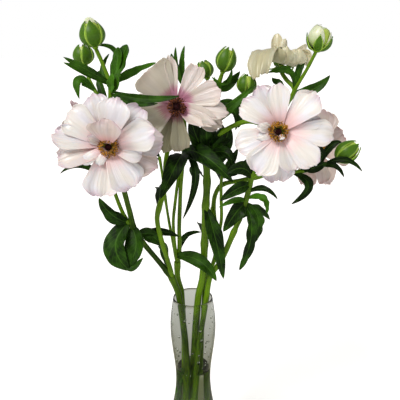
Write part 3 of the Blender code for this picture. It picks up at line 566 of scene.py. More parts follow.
@dataclass
class Skin:
    """A mesh sewn from grids of points, with the values that its finishes read at each point.

    Points nearer than the merge distance become one.
    """

    MERGE_DISTANCE: ClassVar[float] = 0.002

    points: list[np.ndarray] = field(default_factory=list)
    quads: list[np.ndarray] = field(default_factory=list)
    looks: list[np.ndarray] = field(default_factory=list)
    traits: dict[str, list[np.ndarray]] = field(default_factory=dict)
    count: int = 0

    def sew(self, grid: np.ndarray, closed: bool = False, look: int = 0,
            **traits: np.ndarray | float) -> None:
        """Adds a grid of points.

        Args:
            grid: points in millimetres, as rows, columns and three coordinates.
            closed: whether the last column joins the first.
            look: the number of the finish that its faces take.
            traits: a value, or one for each point, by name.
        """
        rows, columns = grid.shape[:2]
        index = np.arange(rows * columns).reshape(rows, columns) + self.count
        if closed:
            index = np.hstack([index, index[:, :1]])
        corners = [index[:-1, :-1], index[:-1, 1:], index[1:, 1:], index[1:, :-1]]
        quads = np.stack(corners, axis=-1).reshape(-1, 4)
        self.points.append(grid.reshape(-1, 3))
        self.quads.append(quads)
        self.looks.append(np.full(len(quads), look))
        for name, values in traits.items():
            spread = np.broadcast_to(values, (rows, columns)).reshape(-1)
            self.traits.setdefault(name, []).append(spread)
        self.count += rows * columns

    def piece(self, name: str, finishes: Iterable[Finish], thickness: float = 0.0) -> bpy.types.Object:
        """Makes the object.

        Args:
            name: the piece's name.
            finishes: its finishes, in the order of the look numbers.
            thickness: the thickness in millimetres of a thin piece, or 0 for a closed one.

        Returns:
            The object, linked to the scene.
        """
        mesh = bpy.data.meshes.new(name)
        mesh.from_pydata(np.concatenate(self.points) * MM, [], np.concatenate(self.quads))
        mesh.polygons.foreach_set("material_index", np.concatenate(self.looks).astype(np.int32))
        for trait, values in self.traits.items():
            attribute = mesh.attributes.new(trait, "FLOAT", "POINT")
            attribute.data.foreach_set("value", np.concatenate(values).astype(np.float32))
        shape = bmesh.new()
        shape.from_mesh(mesh)
        bmesh.ops.remove_doubles(shape, verts=shape.verts, dist=self.MERGE_DISTANCE * MM)
        shape.to_mesh(mesh)
        shape.free()
        mesh.shade_smooth()
        item = bpy.data.objects.new(name, mesh)
        bpy.context.scene.collection.objects.link(item)
        for finish in finishes:
            mesh.materials.append(material_of(finish))
        if thickness:
            solid = item.modifiers.new("Thickness", "SOLIDIFY")
            solid.thickness = thickness * MM
            solid.offset = 0.0
        return item


def install(item: bpy.types.Object, slot: str, *nodes: str) -> None:
    """Fixes a finished piece to the frame.

    Args:
        item: the piece.
        slot: the record's material slot of the piece; not used.
        nodes: the nodes that it stands for.
    """
    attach(item, BODY)
    if nodes:
        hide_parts(*nodes)
    LOG.info("%s: %d faces for %s", item.name, len(item.data.polygons), ", ".join(nodes) or "detail")


def unit(vector: np.ndarray) -> np.ndarray:
    """The vector or vectors at length 1."""
    return vector / np.linalg.norm(vector, axis=-1, keepdims=True)


def smooth_route(points: Iterable[Place], spacing: float) -> np.ndarray:
    """Points about a spacing apart on a smooth curve through a route's own points.

    Args:
        points: the route.
        spacing: the distance between the points that come back.

    Returns:
        An array of points.
    """
    places = np.array(list(points), float)
    knots = np.concatenate([[0.0], np.cumsum(np.linalg.norm(np.diff(places, axis=0), axis=1))])
    low = np.maximum(np.arange(len(places)) - 1, 0)
    high = np.minimum(np.arange(len(places)) + 1, len(places) - 1)
    slopes = (places[high] - places[low]) / (knots[high] - knots[low])[:, None]
    travelled = np.linspace(0, knots[-1], max(3, round(knots[-1] / spacing) + 1))
    index = np.clip(np.searchsorted(knots, travelled, side="right") - 1, 0, len(places) - 2)
    span = (knots[index + 1] - knots[index])[:, None]
    t = (travelled - knots[index])[:, None] / span
    return (places[index] * (2 * t ** 3 - 3 * t ** 2 + 1) + places[index + 1] * (3 * t ** 2 - 2 * t ** 3)
            + slopes[index] * span * (t ** 3 - 2 * t ** 2 + t) + slopes[index + 1] * span * (t ** 3 - t ** 2))


def tube_grid(route: np.ndarray, radii: np.ndarray, sides: int) -> np.ndarray:
    """A round tube along a route, closed to a point at each end.

    Args:
        route: the centre line.
        radii: the radius at each of its points.
        sides: how many points go round.

    Returns:
        A grid of points.
    """
    tangents = unit(np.gradient(route, axis=0))
    tangents = np.concatenate([tangents[:1], tangents, tangents[-1:]])
    route = np.concatenate([route[:1], route, route[-1:]])
    radii = np.concatenate([[0.0], radii, [0.0]])
    normals = np.empty_like(route)

    # Any normal will do for the first ring, and each ring after it turns as little as it can
    lead = np.cross(tangents[0], (0.0, 1.0, 0.2))
    for index, tangent in enumerate(tangents):
        lead = unit(lead - tangent * lead.dot(tangent))
        normals[index] = lead
    angles = np.linspace(0, 2 * math.pi, sides, endpoint=False)[None, :, None]
    ring = normals[:, None] * np.cos(angles) + np.cross(tangents, normals)[:, None] * np.sin(angles)
    return route[:, None] + ring * radii[:, None, None]


def turned_grid(profile: np.ndarray, sides: int) -> np.ndarray:
    """A surface of revolution about Z.

    Args:
        profile: radii and heights.
        sides: how many points go round.

    Returns:
        A grid of points.
    """
    angles = np.linspace(0, 2 * math.pi, sides, endpoint=False)
    radius, height = profile[:, 0, None], profile[:, 1, None]
    return np.stack([radius * np.cos(angles), radius * np.sin(angles), height + 0 * angles], axis=-1)


def frame_on(axis: Place) -> tuple[np.ndarray, np.ndarray, np.ndarray]:
    """Three unit vectors of a bloom or bud.

    Args:
        axis: the way that it faces.

    Returns:
        Out of its face, up across it, and to a viewer's right.
    """
    normal = unit(np.array(axis, float))
    upright = np.array((0.0, 0.0, 1.0)) if abs(normal[2]) < 0.99 else np.array((0.0, 1.0, 0.0))
    up = unit(upright - normal * normal.dot(upright))
    return normal, up, np.cross(up, normal)


def blob_grid(centre: np.ndarray, axis: Place, length: float, radius: float,
              sides: int, rings: int) -> np.ndarray:
    """An ellipsoid on an axis.

    Args:
        centre: its middle.
        axis: the way that its length runs.
        length: its half length.
        radius: its radius across the axis.
        sides: how many points go round.
        rings: how many steps go along.

    Returns:
        A grid of points.
    """
    normal, up, right = frame_on(axis)
    turn = np.linspace(0, 2 * math.pi, sides, endpoint=False)[None, :, None]
    slant = np.linspace(0, math.pi, rings + 1)[:, None, None]
    around = up * np.cos(turn) + right * np.sin(turn)
    return centre - normal * np.cos(slant) * length + around * np.sin(slant) * radius


def waves(at: np.ndarray, heights: Iterable[float], rates: Iterable[float],
          phases: Iterable[float]) -> np.ndarray:
    """A sum of sine waves.

    Args:
        at: where to take it.
        heights: the height of each wave.
        rates: how many radians each goes through for a step of 1.
        phases: where each starts.

    Returns:
        The sum at each place.
    """
    return sum(height * np.sin(rate * at + phase) for height, rate, phase in zip(heights, rates, phases))


@dataclass
class Vase:
    """A slim blown vase, from its flat foot and belly through the waist and the bulge to a thin rim.

    Its floor is thick and its wall thins out over the last centimetres below the rim. The water
    reaches into the wall by the overlap, so that no film of air is left between them, and climbs
    the wall by the meniscus. The drops have a range of radii and keep off the water and the rim.
    """

    rim_radius: float = 18.0
    rim_height: float = 190.0
    bulge_radius: float = 21.1
    bulge_height: float = 160.0
    waist_radius: float = 16.6
    waist_height: float = 105.0
    belly_radius: float = 29.0
    belly_height: float = 17.0
    foot_radius: float = 24.0
    foot_round: float = 1.4
    punt: float = 1.0
    wall: float = 1.6
    rim_wall: float = 0.9
    thinning: float = 40.0
    floor: float = 8.0
    floor_corner: float = 5.0
    water_level: float = 116.0
    meniscus: float = 0.7
    overlap: float = 0.12
    sides: int = 144
    outer_rows: int = 76
    inner_rows: int = 74
    water_rows: int = 60
    drops: int = 54
    drop_size: tuple[float, float] = (0.5, 1.5)
    drop_margins: tuple[float, float] = (5.0, 8.0)
    seed: int = 11

    def radius(self, height: np.ndarray) -> np.ndarray:
        """The outer radius of the wall.

        Args:
            height: one height or more.

        Returns:
            A radius for each.
        """
        low = np.clip(height / self.belly_height, 0, 1)
        slope = np.clip((height - self.belly_height) / (self.waist_height - self.belly_height), 0, 1)
        neck = np.clip((height - self.waist_height) / (self.bulge_height - self.waist_height), 0, 1)
        top = np.clip((height - self.bulge_height) / (self.rim_height - self.bulge_height), 0, 1)
        radius = self.foot_radius + (self.belly_radius - self.foot_radius) * np.sin(math.pi / 2 * low)
        radius = radius + (self.waist_radius - self.belly_radius) * (1 - np.cos(math.pi * slope)) / 2
        radius = radius + (self.bulge_radius - self.waist_radius) * (1 - np.cos(math.pi * neck)) / 2
        return radius + (self.rim_radius - self.bulge_radius) * (1 - np.cos(math.pi / 2 * top))

    def thickness(self, height: np.ndarray) -> np.ndarray:
        """The wall's thickness at one height or more."""
        near_rim = np.clip((height - self.rim_height + self.thinning) / self.thinning, 0, 1)
        return self.wall + (self.rim_wall - self.wall) * near_rim

    def glass_profile(self) -> np.ndarray:
        """The closed outline: base, outer wall, rounded rim, inner wall and thick floor.

        Returns:
            Radii and heights.
        """
        turn = np.linspace(-math.pi / 2, 0, 6)
        foot = np.stack([self.foot_radius - self.foot_round * (1 - np.cos(turn)),
                         self.foot_round * (1 + np.sin(turn))], axis=1)
        base = np.array([(0.0, self.punt), (self.foot_radius * 0.45, self.punt * 0.8),
                         (self.foot_radius * 0.8, 0.15), (self.foot_radius * 0.86, 0.0)])
        lip_height = self.rim_height - self.rim_wall / 2
        heights = np.linspace(self.foot_round + 0.5, lip_height, self.outer_rows)
        outer = np.stack([self.radius(heights), heights], axis=1)
        turn = np.linspace(0, math.pi, 9)[1:-1]
        middle = self.rim_radius - self.rim_wall / 2
        lip = np.stack([middle + self.rim_wall / 2 * np.cos(turn),
                        lip_height + self.rim_wall / 2 * np.sin(turn)], axis=1)
        heights = np.linspace(lip_height, self.floor + self.floor_corner, self.inner_rows)
        inner = np.stack([self.radius(heights) - self.thickness(heights), heights], axis=1)
        turn = np.linspace(0, math.pi / 2, 8)[1:]
        corner = np.stack([inner[-1, 0] - self.floor_corner * (1 - np.cos(turn)),
                           self.floor + self.floor_corner * (1 - np.sin(turn))], axis=1)
        return np.concatenate([base, foot, outer, lip, inner, corner, [(0.0, self.floor + 0.4)]])

    def water_profile(self) -> np.ndarray:
        """The water's outline, with a surface that climbs the glass ever less towards the middle.

        Returns:
            Radii and heights.
        """
        turn = np.linspace(-math.pi / 2, 0, 8)
        low = self.floor + self.floor_corner
        wide = self.radius(low) - self.wall + self.overlap
        corner = np.stack([wide - self.floor_corner * (1 - np.cos(turn)),
                           low + self.floor_corner * np.sin(turn) - self.overlap], axis=1)
        heights = np.linspace(low + 0.5, self.water_level + self.meniscus, self.water_rows)
        wall = np.stack([self.radius(heights) - self.wall + self.overlap, heights], axis=1)
        inward = np.array([0.4, 0.9, 1.5, 2.3, 3.4, 5.0, 8.0])
        climb = np.stack([wall[-1, 0] - inward, self.water_level + self.meniscus * np.exp(-inward)], axis=1)
        return np.concatenate([[(0.0, self.floor - self.overlap)], corner, wall, climb,
                               [(0.0, self.water_level)]])

    def droplets(self) -> Skin:
        """Drops of water that cling to the inside of the wall above the water.

        Returns:
            The drops, each sagging a little.
        """
        chance = np.random.default_rng(self.seed)
        above_water, below_rim = self.drop_margins
        skin = Skin()
        for _ in range(self.drops):
            height = chance.uniform(self.water_level + above_water, self.rim_height - below_rim)
            turn = chance.uniform(0, 2 * math.pi)
            size = chance.uniform(*self.drop_size)
            out = np.array([math.cos(turn), math.sin(turn), 0.0])
            wall = self.radius(np.array(height)) - self.thickness(np.array(height))
            place = out * (wall - size * 0.05) + np.array([0.0, 0.0, height])
            drop = blob_grid(place, out, length=size * 0.85, radius=size, sides=14, rings=8)
            drop[..., 2] += (drop[..., 2] - height) * chance.uniform(0.0, 0.5)
            skin.sew(drop, closed=True)
        return skin

    def build(self) -> None:
        """Makes the glass, the water and the drops."""
        glass = Skin()
        glass.sew(turned_grid(self.glass_profile(), self.sides), closed=True)
        install(glass.piece("vase_glass_wall", [GLASS]), "vase_glass", "vase")
        water = Skin()
        water.sew(turned_grid(self.water_profile(), self.sides), closed=True)
        install(water.piece("vase_water", [WATER]), "water", "water")
        install(self.droplets().piece("vase_droplets", [WATER]), "water")


class Outline(Enum):
    """How the half width of a blade changes along it.

    A fan widens from a narrow base to a round end, and a square one to a blunt end. A broad blade is
    wide from its base on, and a sepal's comes to a point.
    """

    FAN = "fan"
    SQUARE = "square"
    BROAD = "broad"
    SEPAL = "sepal"

    def half(self, v: np.ndarray) -> np.ndarray:
        """The half width as a share of the greatest.

        Args:
            v: how far along the blade, from 0 to 1.

        Returns:
            The shares.
        """
        if self is Outline.SEPAL:
            return 0.42 * (1 - v) + np.sin(math.pi * np.clip(v, 0, 1) ** 0.8) ** 0.8 * (0.60 + 0.35 * v)
        if self is Outline.BROAD:
            tapering = 1 - 0.25 * np.maximum(0.0, v - 0.8) / 0.2
            return (0.55 + 0.45 * np.sin(math.pi * (0.06 + 0.72 * v))) * tapering
        spread = np.minimum(v / 0.82, 1.0) ** 0.85
        rounding = np.maximum(0.0, v - 0.68) / 0.32
        roundness = 0.30 if self is Outline.SQUARE else 0.72
        return (0.16 + 0.84 * spread) * np.sqrt(1 - roundness * rounding ** 2)


@dataclass(frozen=True)
class Petal:
    """One petal or sepal: where it turns, its size, its tilts from root to tip, lift, cup and wave.

    Roll turns it about its length in degrees, fold creases its middle and curl turns up its end, in
    millimetres. Shade and age make it darker and duller, from 0 when fresh and in full light: painted
    shade on the petals that lie in the shadow of others, and age on older ones. Its root is a little way
    off the bloom's axis.
    """

    ROOT_RADIUS: ClassVar[float] = 2.5

    turn: float
    length: float
    width: float
    tilts: tuple[float, float, float]
    lift: float
    cup: float
    wave: float
    outline: Outline = Outline.FAN
    ruffle: float = 1.0
    roll: float = 12.0
    fold: float = 0.0
    curl: float = 0.0
    age: float = 0.0

    def path(self, reach: np.ndarray) -> tuple[np.ndarray, np.ndarray, np.ndarray]:
        """How the petal runs out from the axis.

        Args:
            reach: shares of its length.

        Returns:
            The distance from the axis, the rise and the tilt.
        """
        shares = np.linspace(0, 1.2, 97)
        root, middle, tip = np.radians(self.tilts)
        tilts = root * (1 - shares) ** 2 + 2 * middle * shares * (1 - shares) + tip * shares ** 2
        stride = self.length * shares[1]
        between = (tilts[1:] + tilts[:-1]) / 2
        distance = self.ROOT_RADIUS + np.concatenate([[0.0], np.cumsum(np.cos(between) * stride)])
        rise = self.lift + np.concatenate([[0.0], np.cumsum(np.sin(between) * stride)])
        return tuple(np.interp(reach, shares, values) for values in (distance, rise, tilts))

    def relief(self, u: np.ndarray, v: np.ndarray, half: np.ndarray, phase: np.ndarray,
               share: np.ndarray) -> np.ndarray:
        """How far the blade stands off a flat one: its cup, wave, folds, frill, hem, curl and crease.

        Args:
            u: how far across the petal, from -1 to 1.
            v: how far along it, from 0 to 1.
            half: its half width at each v.
            phase: twelve random angles.
            share: six random shares of 1.

        Returns:
            Heights in millimetres.
        """
        # Folds fan out from the base and bend a little on their way
        bent = u + 0.14 * np.sin(2.4 * v + phase[4]) * (1 - np.abs(u))
        folds = waves(bent, heights=np.array([0.60, 0.40, 0.20]) * share[2:5], rates=(4.1, 7.7, 13.1),
                      phases=phase[5:8]) * v ** 1.3
        folds = folds + 0.10 * np.sin(27 * bent + phase[8]) * v ** 1.5

        # The end frills and curls, and the sides have a hem
        frill = waves(u, heights=(0.026, 0.013), rates=(5.1, 10.3), phases=phase[9:11])
        hem = (0.9 * share[5] - 0.3) * np.abs(u) ** 5 * v
        curled = (self.curl + 0.9 * math.sin(phase[11])) * np.clip((v - 0.72) / 0.28, 0, 1) ** 2
        curled = curled * (1 + 0.5 * np.sin(2.6 * u + phase[0]))
        crease = self.fold * (1 - np.sqrt(u ** 2 + 0.015)) * v ** 0.8
        return (self.cup * half * u ** 2 + self.wave * np.sin(2.6 * u + self.turn) * v ** 3
                + self.ruffle * (folds + self.width * frill * v ** 5 + hem) + curled + crease)

    def sew_on(self, skin: Skin, centre: Place, face: Place, chance: np.random.Generator,
               rows: int = 34, columns: int = 45) -> None:
        """Adds the petal to a mesh, with how far along, across and towards the rim each point is.

        Args:
            skin: the mesh.
            centre: the middle of the bloom.
            face: the way that the bloom faces.
            chance: the source of its small irregularities.
            rows: how many points run along it.
            columns: how many run across it.
        """
        normal, up, right = frame_on(face)
        turn = math.radians(self.turn)
        outward = up * math.cos(turn) + right * math.sin(turn)
        side = np.cross(outward, normal)
        u = np.linspace(-1, 1, columns)[None, :]
        v = np.linspace(0, 1, rows)[:, None]
        phase = chance.uniform(0, 2 * math.pi, 12)
        share = chance.uniform(0.45, 1.0, 6)

        # The end of the petal is uneven and has one notch
        notch = np.exp(-((u - chance.uniform(-0.5, 0.5)) / 0.10) ** 2)
        scallop = waves(u, heights=(0.022 * share[0], 0.012, 0.004), rates=(3.1, 7.3, 21.0), phases=phase[:3])
        scallop = (scallop - 0.030 * share[1] * notch) * self.ruffle
        reach = v * (1 - 0.075 * u ** 2 * v ** 2) * (1 + scallop * v ** 4)
        distance, rise, tilt = (values[..., None] for values in self.path(reach))

        # The blade is laid across that path at its roll
        upward = normal * np.cos(tilt) - outward * np.sin(tilt)
        roll = math.radians(self.roll)
        across = side * math.cos(roll) + upward * math.sin(roll)
        half = self.width / 2 * self.outline.half(v) * (1 + 0.03 * self.ruffle * np.sin(7 * v + phase[3]) * v)
        grid = (np.array(centre) + outward * distance + normal * rise + across * (half * u)[..., None]
                + upward * self.relief(u, v, half, phase, share)[..., None])
        rim = np.maximum(v + 0 * u, np.abs(u) ** 8 * np.minimum(1.0, v * 1.6))
        # Each point carries the petal's painted shade and age, which darkens and dulls its colour
        skin.sew(grid, along=v, across=u, rim=rim, tone=chance.uniform(0, 1), age=self.age)


@dataclass
class Bloom:
    """An open bloom: petals in layers round a dome of seed cases and a dense ring of stamens.

    Its middle sways to the right and up by a few millimetres, with the small inner petals round it.
    The core and the dome each have a radius and a height, and a seed case a half length and a radius.
    The seed cases cover a share of the dome, where 1 is the half that faces out. Reach and rise place
    the anthers, from the innermost to the outermost, and a filament's foot is out from the axis and up.
    """

    name: str
    centre: Point
    face: Point
    petals: list[Petal]
    tissue: PetalTissue
    slot: str
    pollen: Pollen = GOLD_POLLEN
    inner: list[Petal] = field(default_factory=list)
    sway: tuple[float, float] = (0.0, 0.0)
    sepal_tilts: tuple[float, float, float] = (-12, -45, -75)
    sepal_size: tuple[float, float] = (12.0, 6.0)
    seed: int = 1
    petal_thickness: float = 0.28
    core: tuple[float, float] = (4.8, 2.4)
    dome_rise: float = 5.0
    dome: tuple[float, float] = (1.8, 2.3)
    dome_cover: float = 1.15
    carpels: int = 56
    carpel_size: tuple[float, float] = (0.85, 0.40)
    stamens: int = 150
    reach: tuple[float, float] = (2.4, 7.3)
    rise: tuple[float, float] = (9.0, 5.6)
    filament_foot: tuple[float, float] = (3.2, 1.6)
    filament_radius: float = 0.19
    filament_spacing: float = 1.3
    anther_length: tuple[float, float] = (0.8, 1.3)
    anther_radius: tuple[float, float] = (0.34, 0.5)

    def middle(self) -> np.ndarray:
        """Where the swayed middle of the bloom is."""
        _, up, right = frame_on(self.face)
        return np.array(self.centre) + right * self.sway[0] + up * self.sway[1]

    def corolla(self) -> Skin:
        """All the petals, the inner ones round the swayed middle.

        Returns:
            The petals.
        """
        chance = np.random.default_rng(self.seed)
        skin = Skin()
        for petal in self.petals:
            petal.sew_on(skin, self.centre, self.face, chance)
        for petal in self.inner:
            petal.sew_on(skin, self.middle(), self.face, chance)
        return skin

    def carpel_dome(self) -> Skin:
        """Seed cases crowded over a dome in the spiral that they grow in.

        Returns:
            The dome and the seed cases.
        """
        normal, up, right = frame_on(self.face)
        place = self.middle() + normal * self.dome_rise
        radius, height = self.dome
        skin = Skin()
        skin.sew(blob_grid(place, normal, height, radius, sides=20, rings=12), closed=True)
        for index in range(self.carpels):
            turn = index * GOLDEN_ANGLE
            slant = math.acos(1 - self.dome_cover * (index + 0.5) / self.carpels)
            out = up * math.cos(turn) + right * math.sin(turn)
            seat = place + normal * math.cos(slant) * height + out * math.sin(slant) * radius
            lean = unit(normal * (math.cos(slant) + 0.5) + out * math.sin(slant))
            skin.sew(blob_grid(seat, lean, *self.carpel_size, sides=6, rings=4), closed=True)
        return skin

    def stamen_ring(self) -> Skin:
        """Thread-like filaments that each carry a long anther, crowded round the seed cases.

        Returns:
            The stamens.
        """
        chance = np.random.default_rng(self.seed + 50)
        normal, up, right = frame_on(self.face)
        centre = self.middle()
        foot_out, foot_up = self.filament_foot
        skin = Skin()
        for index in range(self.stamens):
            turn = index * GOLDEN_ANGLE + chance.uniform(-0.12, 0.12)
            out = up * math.cos(turn) + right * math.sin(turn)
            share = math.sqrt((index + chance.uniform(0.0, 6.0)) / (self.stamens + 6))
            reach = self.reach[0] + (self.reach[1] - self.reach[0]) * share
            rise = self.rise[0] + (self.rise[1] - self.rise[0]) * share ** 2 + chance.uniform(-0.6, 0.6)
            foot = centre + out * foot_out + normal * foot_up
            head = centre + out * reach + normal * rise
            knee = (foot + head) / 2 + out * chance.uniform(0.1, 0.8)
            route = smooth_route([foot, knee, head], self.filament_spacing)
            ripe = chance.uniform(0, 1)
            thread = tube_grid(route, np.full(len(route), self.filament_radius), sides=5)
            skin.sew(thread, closed=True, along=0.2, tone=ripe)
            sideways = np.cross(normal, out) * chance.uniform(-0.6, 0.6)
            lean = unit(normal * 0.8 + out * chance.uniform(-0.2, 0.9) + sideways)
            length = chance.uniform(*self.anther_length)
            radius = chance.uniform(*self.anther_radius)
            anther = blob_grid(head + lean * 0.5, lean, length, radius, sides=7, rings=6)
            skin.sew(anther, closed=True, along=1.0, tone=ripe)
        return skin

    def build(self) -> None:
        """Makes the petals, the core behind them, the seed cases and the stamens."""
        petals, middle = self.name + "_petals", self.name + "_centre"
        corolla = self.corolla().piece(self.name + "_corolla", [self.tissue], self.petal_thickness)
        install(corolla, self.slot, petals)
        radius, height = self.core
        core = Skin()
        grid = blob_grid(np.array(self.centre), self.face, height, radius, sides=24, rings=12)
        core.sew(grid, closed=True, along=0.2, tone=0.5)
        install(core.piece(self.name + "_core", [self.pollen]), self.slot, petals)
        install(self.carpel_dome().piece(self.name + "_carpels", [CARPELS]), "stamens", middle)
        install(self.stamen_ring().piece(self.name + "_stamens", [self.pollen]), "stamens", middle)


class BudStage(Enum):
    """How far a bud has opened."""

    CLOSED = "closed"
    TIPPED = "tipped"
    OPENING = "opening"


@dataclass
class Bud:
    """A bud: overlapping green sepals over an egg of folded petals, or pale petals that part at the top.

    Fullest and roundness shape the egg. The folded petals lie below its surface by the heart's drop.
    A sepal lies off the egg by the gap, more on one side by the overlap, and more at its keel and
    its flared tip. The opening bud's petals end at a share of its length, higher on one side by the
    slant. Half turns and steps are in degrees.
    """

    # Where the two petals that show at the top of a tipped bud turn, and how far up they are rooted
    TIP_TURNS: ClassVar[tuple[float, float]] = (96, 10)
    TIP_SEAT: ClassVar[float] = 0.62

    name: str
    base: Point
    axis: Point
    length: float
    width: float
    stage: BudStage = BudStage.CLOSED
    seed: int = 3
    fullest: float = 0.86
    roundness: float = 0.62
    heart_reach: float = 0.88
    heart_drop: float = 1.1
    sepals: int = 5
    sepal_reach: float = 0.95
    sepal_half_turn: float = 43.0
    sepal_gap: float = 0.35
    sepal_overlap: float = 0.36
    sepal_keel: float = 0.35
    sepal_flare: float = 0.5
    sepal_thickness: float = 0.3
    petals: int = 9
    petal_layers: int = 3
    petal_layer_gap: float = 0.5
    petal_top: float = 0.89
    petal_slant: float = 0.10
    first_petal: float = 55.0
    petal_step: float = 80.0
    petal_half_turn: float = 52.0
    lime_petal: int = 1

    def shell(self, turn: np.ndarray, height: np.ndarray, out: np.ndarray | float) -> np.ndarray:
        """Points over the egg.

        Args:
            turn: angles about the bud's axis.
            height: shares of its length.
            out: how far off the egg, in millimetres.

        Returns:
            The points.
        """
        normal, up, right = frame_on(self.axis)
        swell = np.abs(np.sin(math.pi * np.clip(height, 0, 1) ** self.fullest)) ** self.roundness
        across = (self.width / 2 * swell + out)[..., None]
        around = up * np.cos(turn)[..., None] + right * np.sin(turn)[..., None]
        cap = (0.5 - np.cos(math.pi * np.clip(height, 0, 1)) / 2) * out
        rise = (self.length * height + (cap - 0.5 * out) * (height > 0.5))[..., None]
        return np.array(self.base) + around * across + normal * rise

    def egg(self) -> Skin:
        """The folded petals, wound round each other.

        Returns:
            The egg.
        """
        turn = np.linspace(0, 2 * math.pi, 48, endpoint=False)[None, :]
        height = np.linspace(0, 1, 30)[:, None]
        twist = np.sin(3 * turn + 9 * height)
        out = (0.15 * twist * np.sin(math.pi * height) ** 0.5
               - self.heart_drop * np.sin(math.pi * height) ** 0.6)
        grid = self.shell(turn + 0 * height, self.heart_reach * height + 0 * turn, out)
        skin = Skin()
        skin.sew(grid, closed=True, along=height, across=twist, tone=0.3)
        return skin

    def sepal_shells(self) -> Skin:
        """The sepals, each with one edge over its neighbour.

        Returns:
            The sepals.
        """
        chance = np.random.default_rng(self.seed)
        u = np.linspace(-1, 1, 19)[None, :]
        v = np.linspace(0, 1, 26)[:, None]
        skin = Skin()
        for index in range(self.sepals):
            middle = 2 * math.pi * index / self.sepals + chance.uniform(-0.06, 0.06)
            narrowing = 1 - v ** 5
            half_turn = math.radians(self.sepal_half_turn) * (0.25 + 0.75 * narrowing)
            turn = middle + u * half_turn * (0.9 + 0.1 * narrowing)
            height = 0.01 + self.sepal_reach * v * (1 - 0.05 * np.abs(u) ** 2)
            out = (self.sepal_gap + self.sepal_overlap * u
                   + self.sepal_keel * (1 - u ** 2) * np.sin(math.pi * v) ** 0.7 + self.sepal_flare * v ** 9)
            skin.sew(self.shell(turn, height, out), along=v, across=u, tone=chance.uniform(0, 1))
        return skin

    def petal_shells(self) -> Skin:
        """Pale petals that wrap the egg, one of them still lime, with a slanting top.

        Returns:
            The petals.
        """
        chance = np.random.default_rng(self.seed)
        u = np.linspace(-1, 1, 25)[None, :]
        v = np.linspace(0, 1, 28)[:, None]
        skin = Skin()
        for index in range(self.petals):
            layer = index % self.petal_layers
            middle = math.radians(self.first_petal + self.petal_step * index) + chance.uniform(-0.06, 0.06)
            turn = middle + u * math.radians(self.petal_half_turn) * (1 - 0.3 * v ** 3)
            top = self.petal_top + 0.02 * np.sin(2 * u + index) - 0.05 * u ** 2 - 0.04 * layer
            height = 0.01 + (top - self.petal_slant * np.sin(turn)) * v
            flare = (0.6 + 0.3 * np.sin(2 * u + index)) * v ** 6
            out = -0.6 + self.petal_layer_gap * layer + 0.28 * u + flare
            rim = np.maximum(v + 0 * u, np.abs(u) ** 8)
            # The wrapping petals take some of the shade-and-age tint, which makes them duller and greener
            skin.sew(self.shell(turn, height, out), look=int(index == self.lime_petal), along=v, across=u,
                     rim=rim, tone=chance.uniform(0, 1), age=0.4)
        return skin

    def tip(self) -> Skin:
        """The small petals that show between the tips of the sepals.

        Returns:
            The petals.
        """
        chance = np.random.default_rng(self.seed)
        seat = np.array(self.base) + frame_on(self.axis)[0] * self.length * self.TIP_SEAT
        skin = Skin()
        for turn in self.TIP_TURNS:
            petal = Petal(turn, length=9.6, width=9, tilts=(84, 98, 108), lift=0.0, cup=0.4, wave=0.0,
                          outline=Outline.BROAD, ruffle=0.0, roll=0)
            petal.sew_on(skin, seat, self.axis, chance)
        return skin

    def build(self) -> None:
        """Makes the egg and what wraps it."""
        if self.stage is BudStage.OPENING:
            slot, heart = "opening_bud", BUD_PETAL
            wraps = [("petals", self.petal_shells(), [BUD_PETAL, LIME_PETAL])]
        else:
            slot, heart = "green_bud", LIME_PETAL
            wraps = [("sepals", self.sepal_shells(), [SEPAL])]
            if self.stage is BudStage.TIPPED:
                wraps.insert(0, ("tip", self.tip(), [BUD_PETAL]))
        install(self.egg().piece(self.name + "_heart", [heart]), slot, self.name)
        for part, skin, finishes in wraps:
            install(skin.piece(f"{self.name}_{part}", finishes, self.sepal_thickness), slot, self.name)


class Cut(Enum):
    """The edge of a leaf: how deep its notches are, as a share of its width, and how many it has."""

    PLAIN = (0.05, 2.0)
    TOOTHED = (0.28, 4.0)

    def edge(self, v: np.ndarray) -> np.ndarray:
        """How much of its width the leaf keeps.

        Args:
            v: how far along the leaf, from 0 to 1.

        Returns:
            The shares.
        """
        depth, count = self.value
        tooth = np.abs((v * count + 0.25) % 1.0 - 0.5) * 2
        return 1 - depth * (1 - tooth) ** 2 * np.sin(math.pi * np.clip(v, 0, 1)) ** 0.5


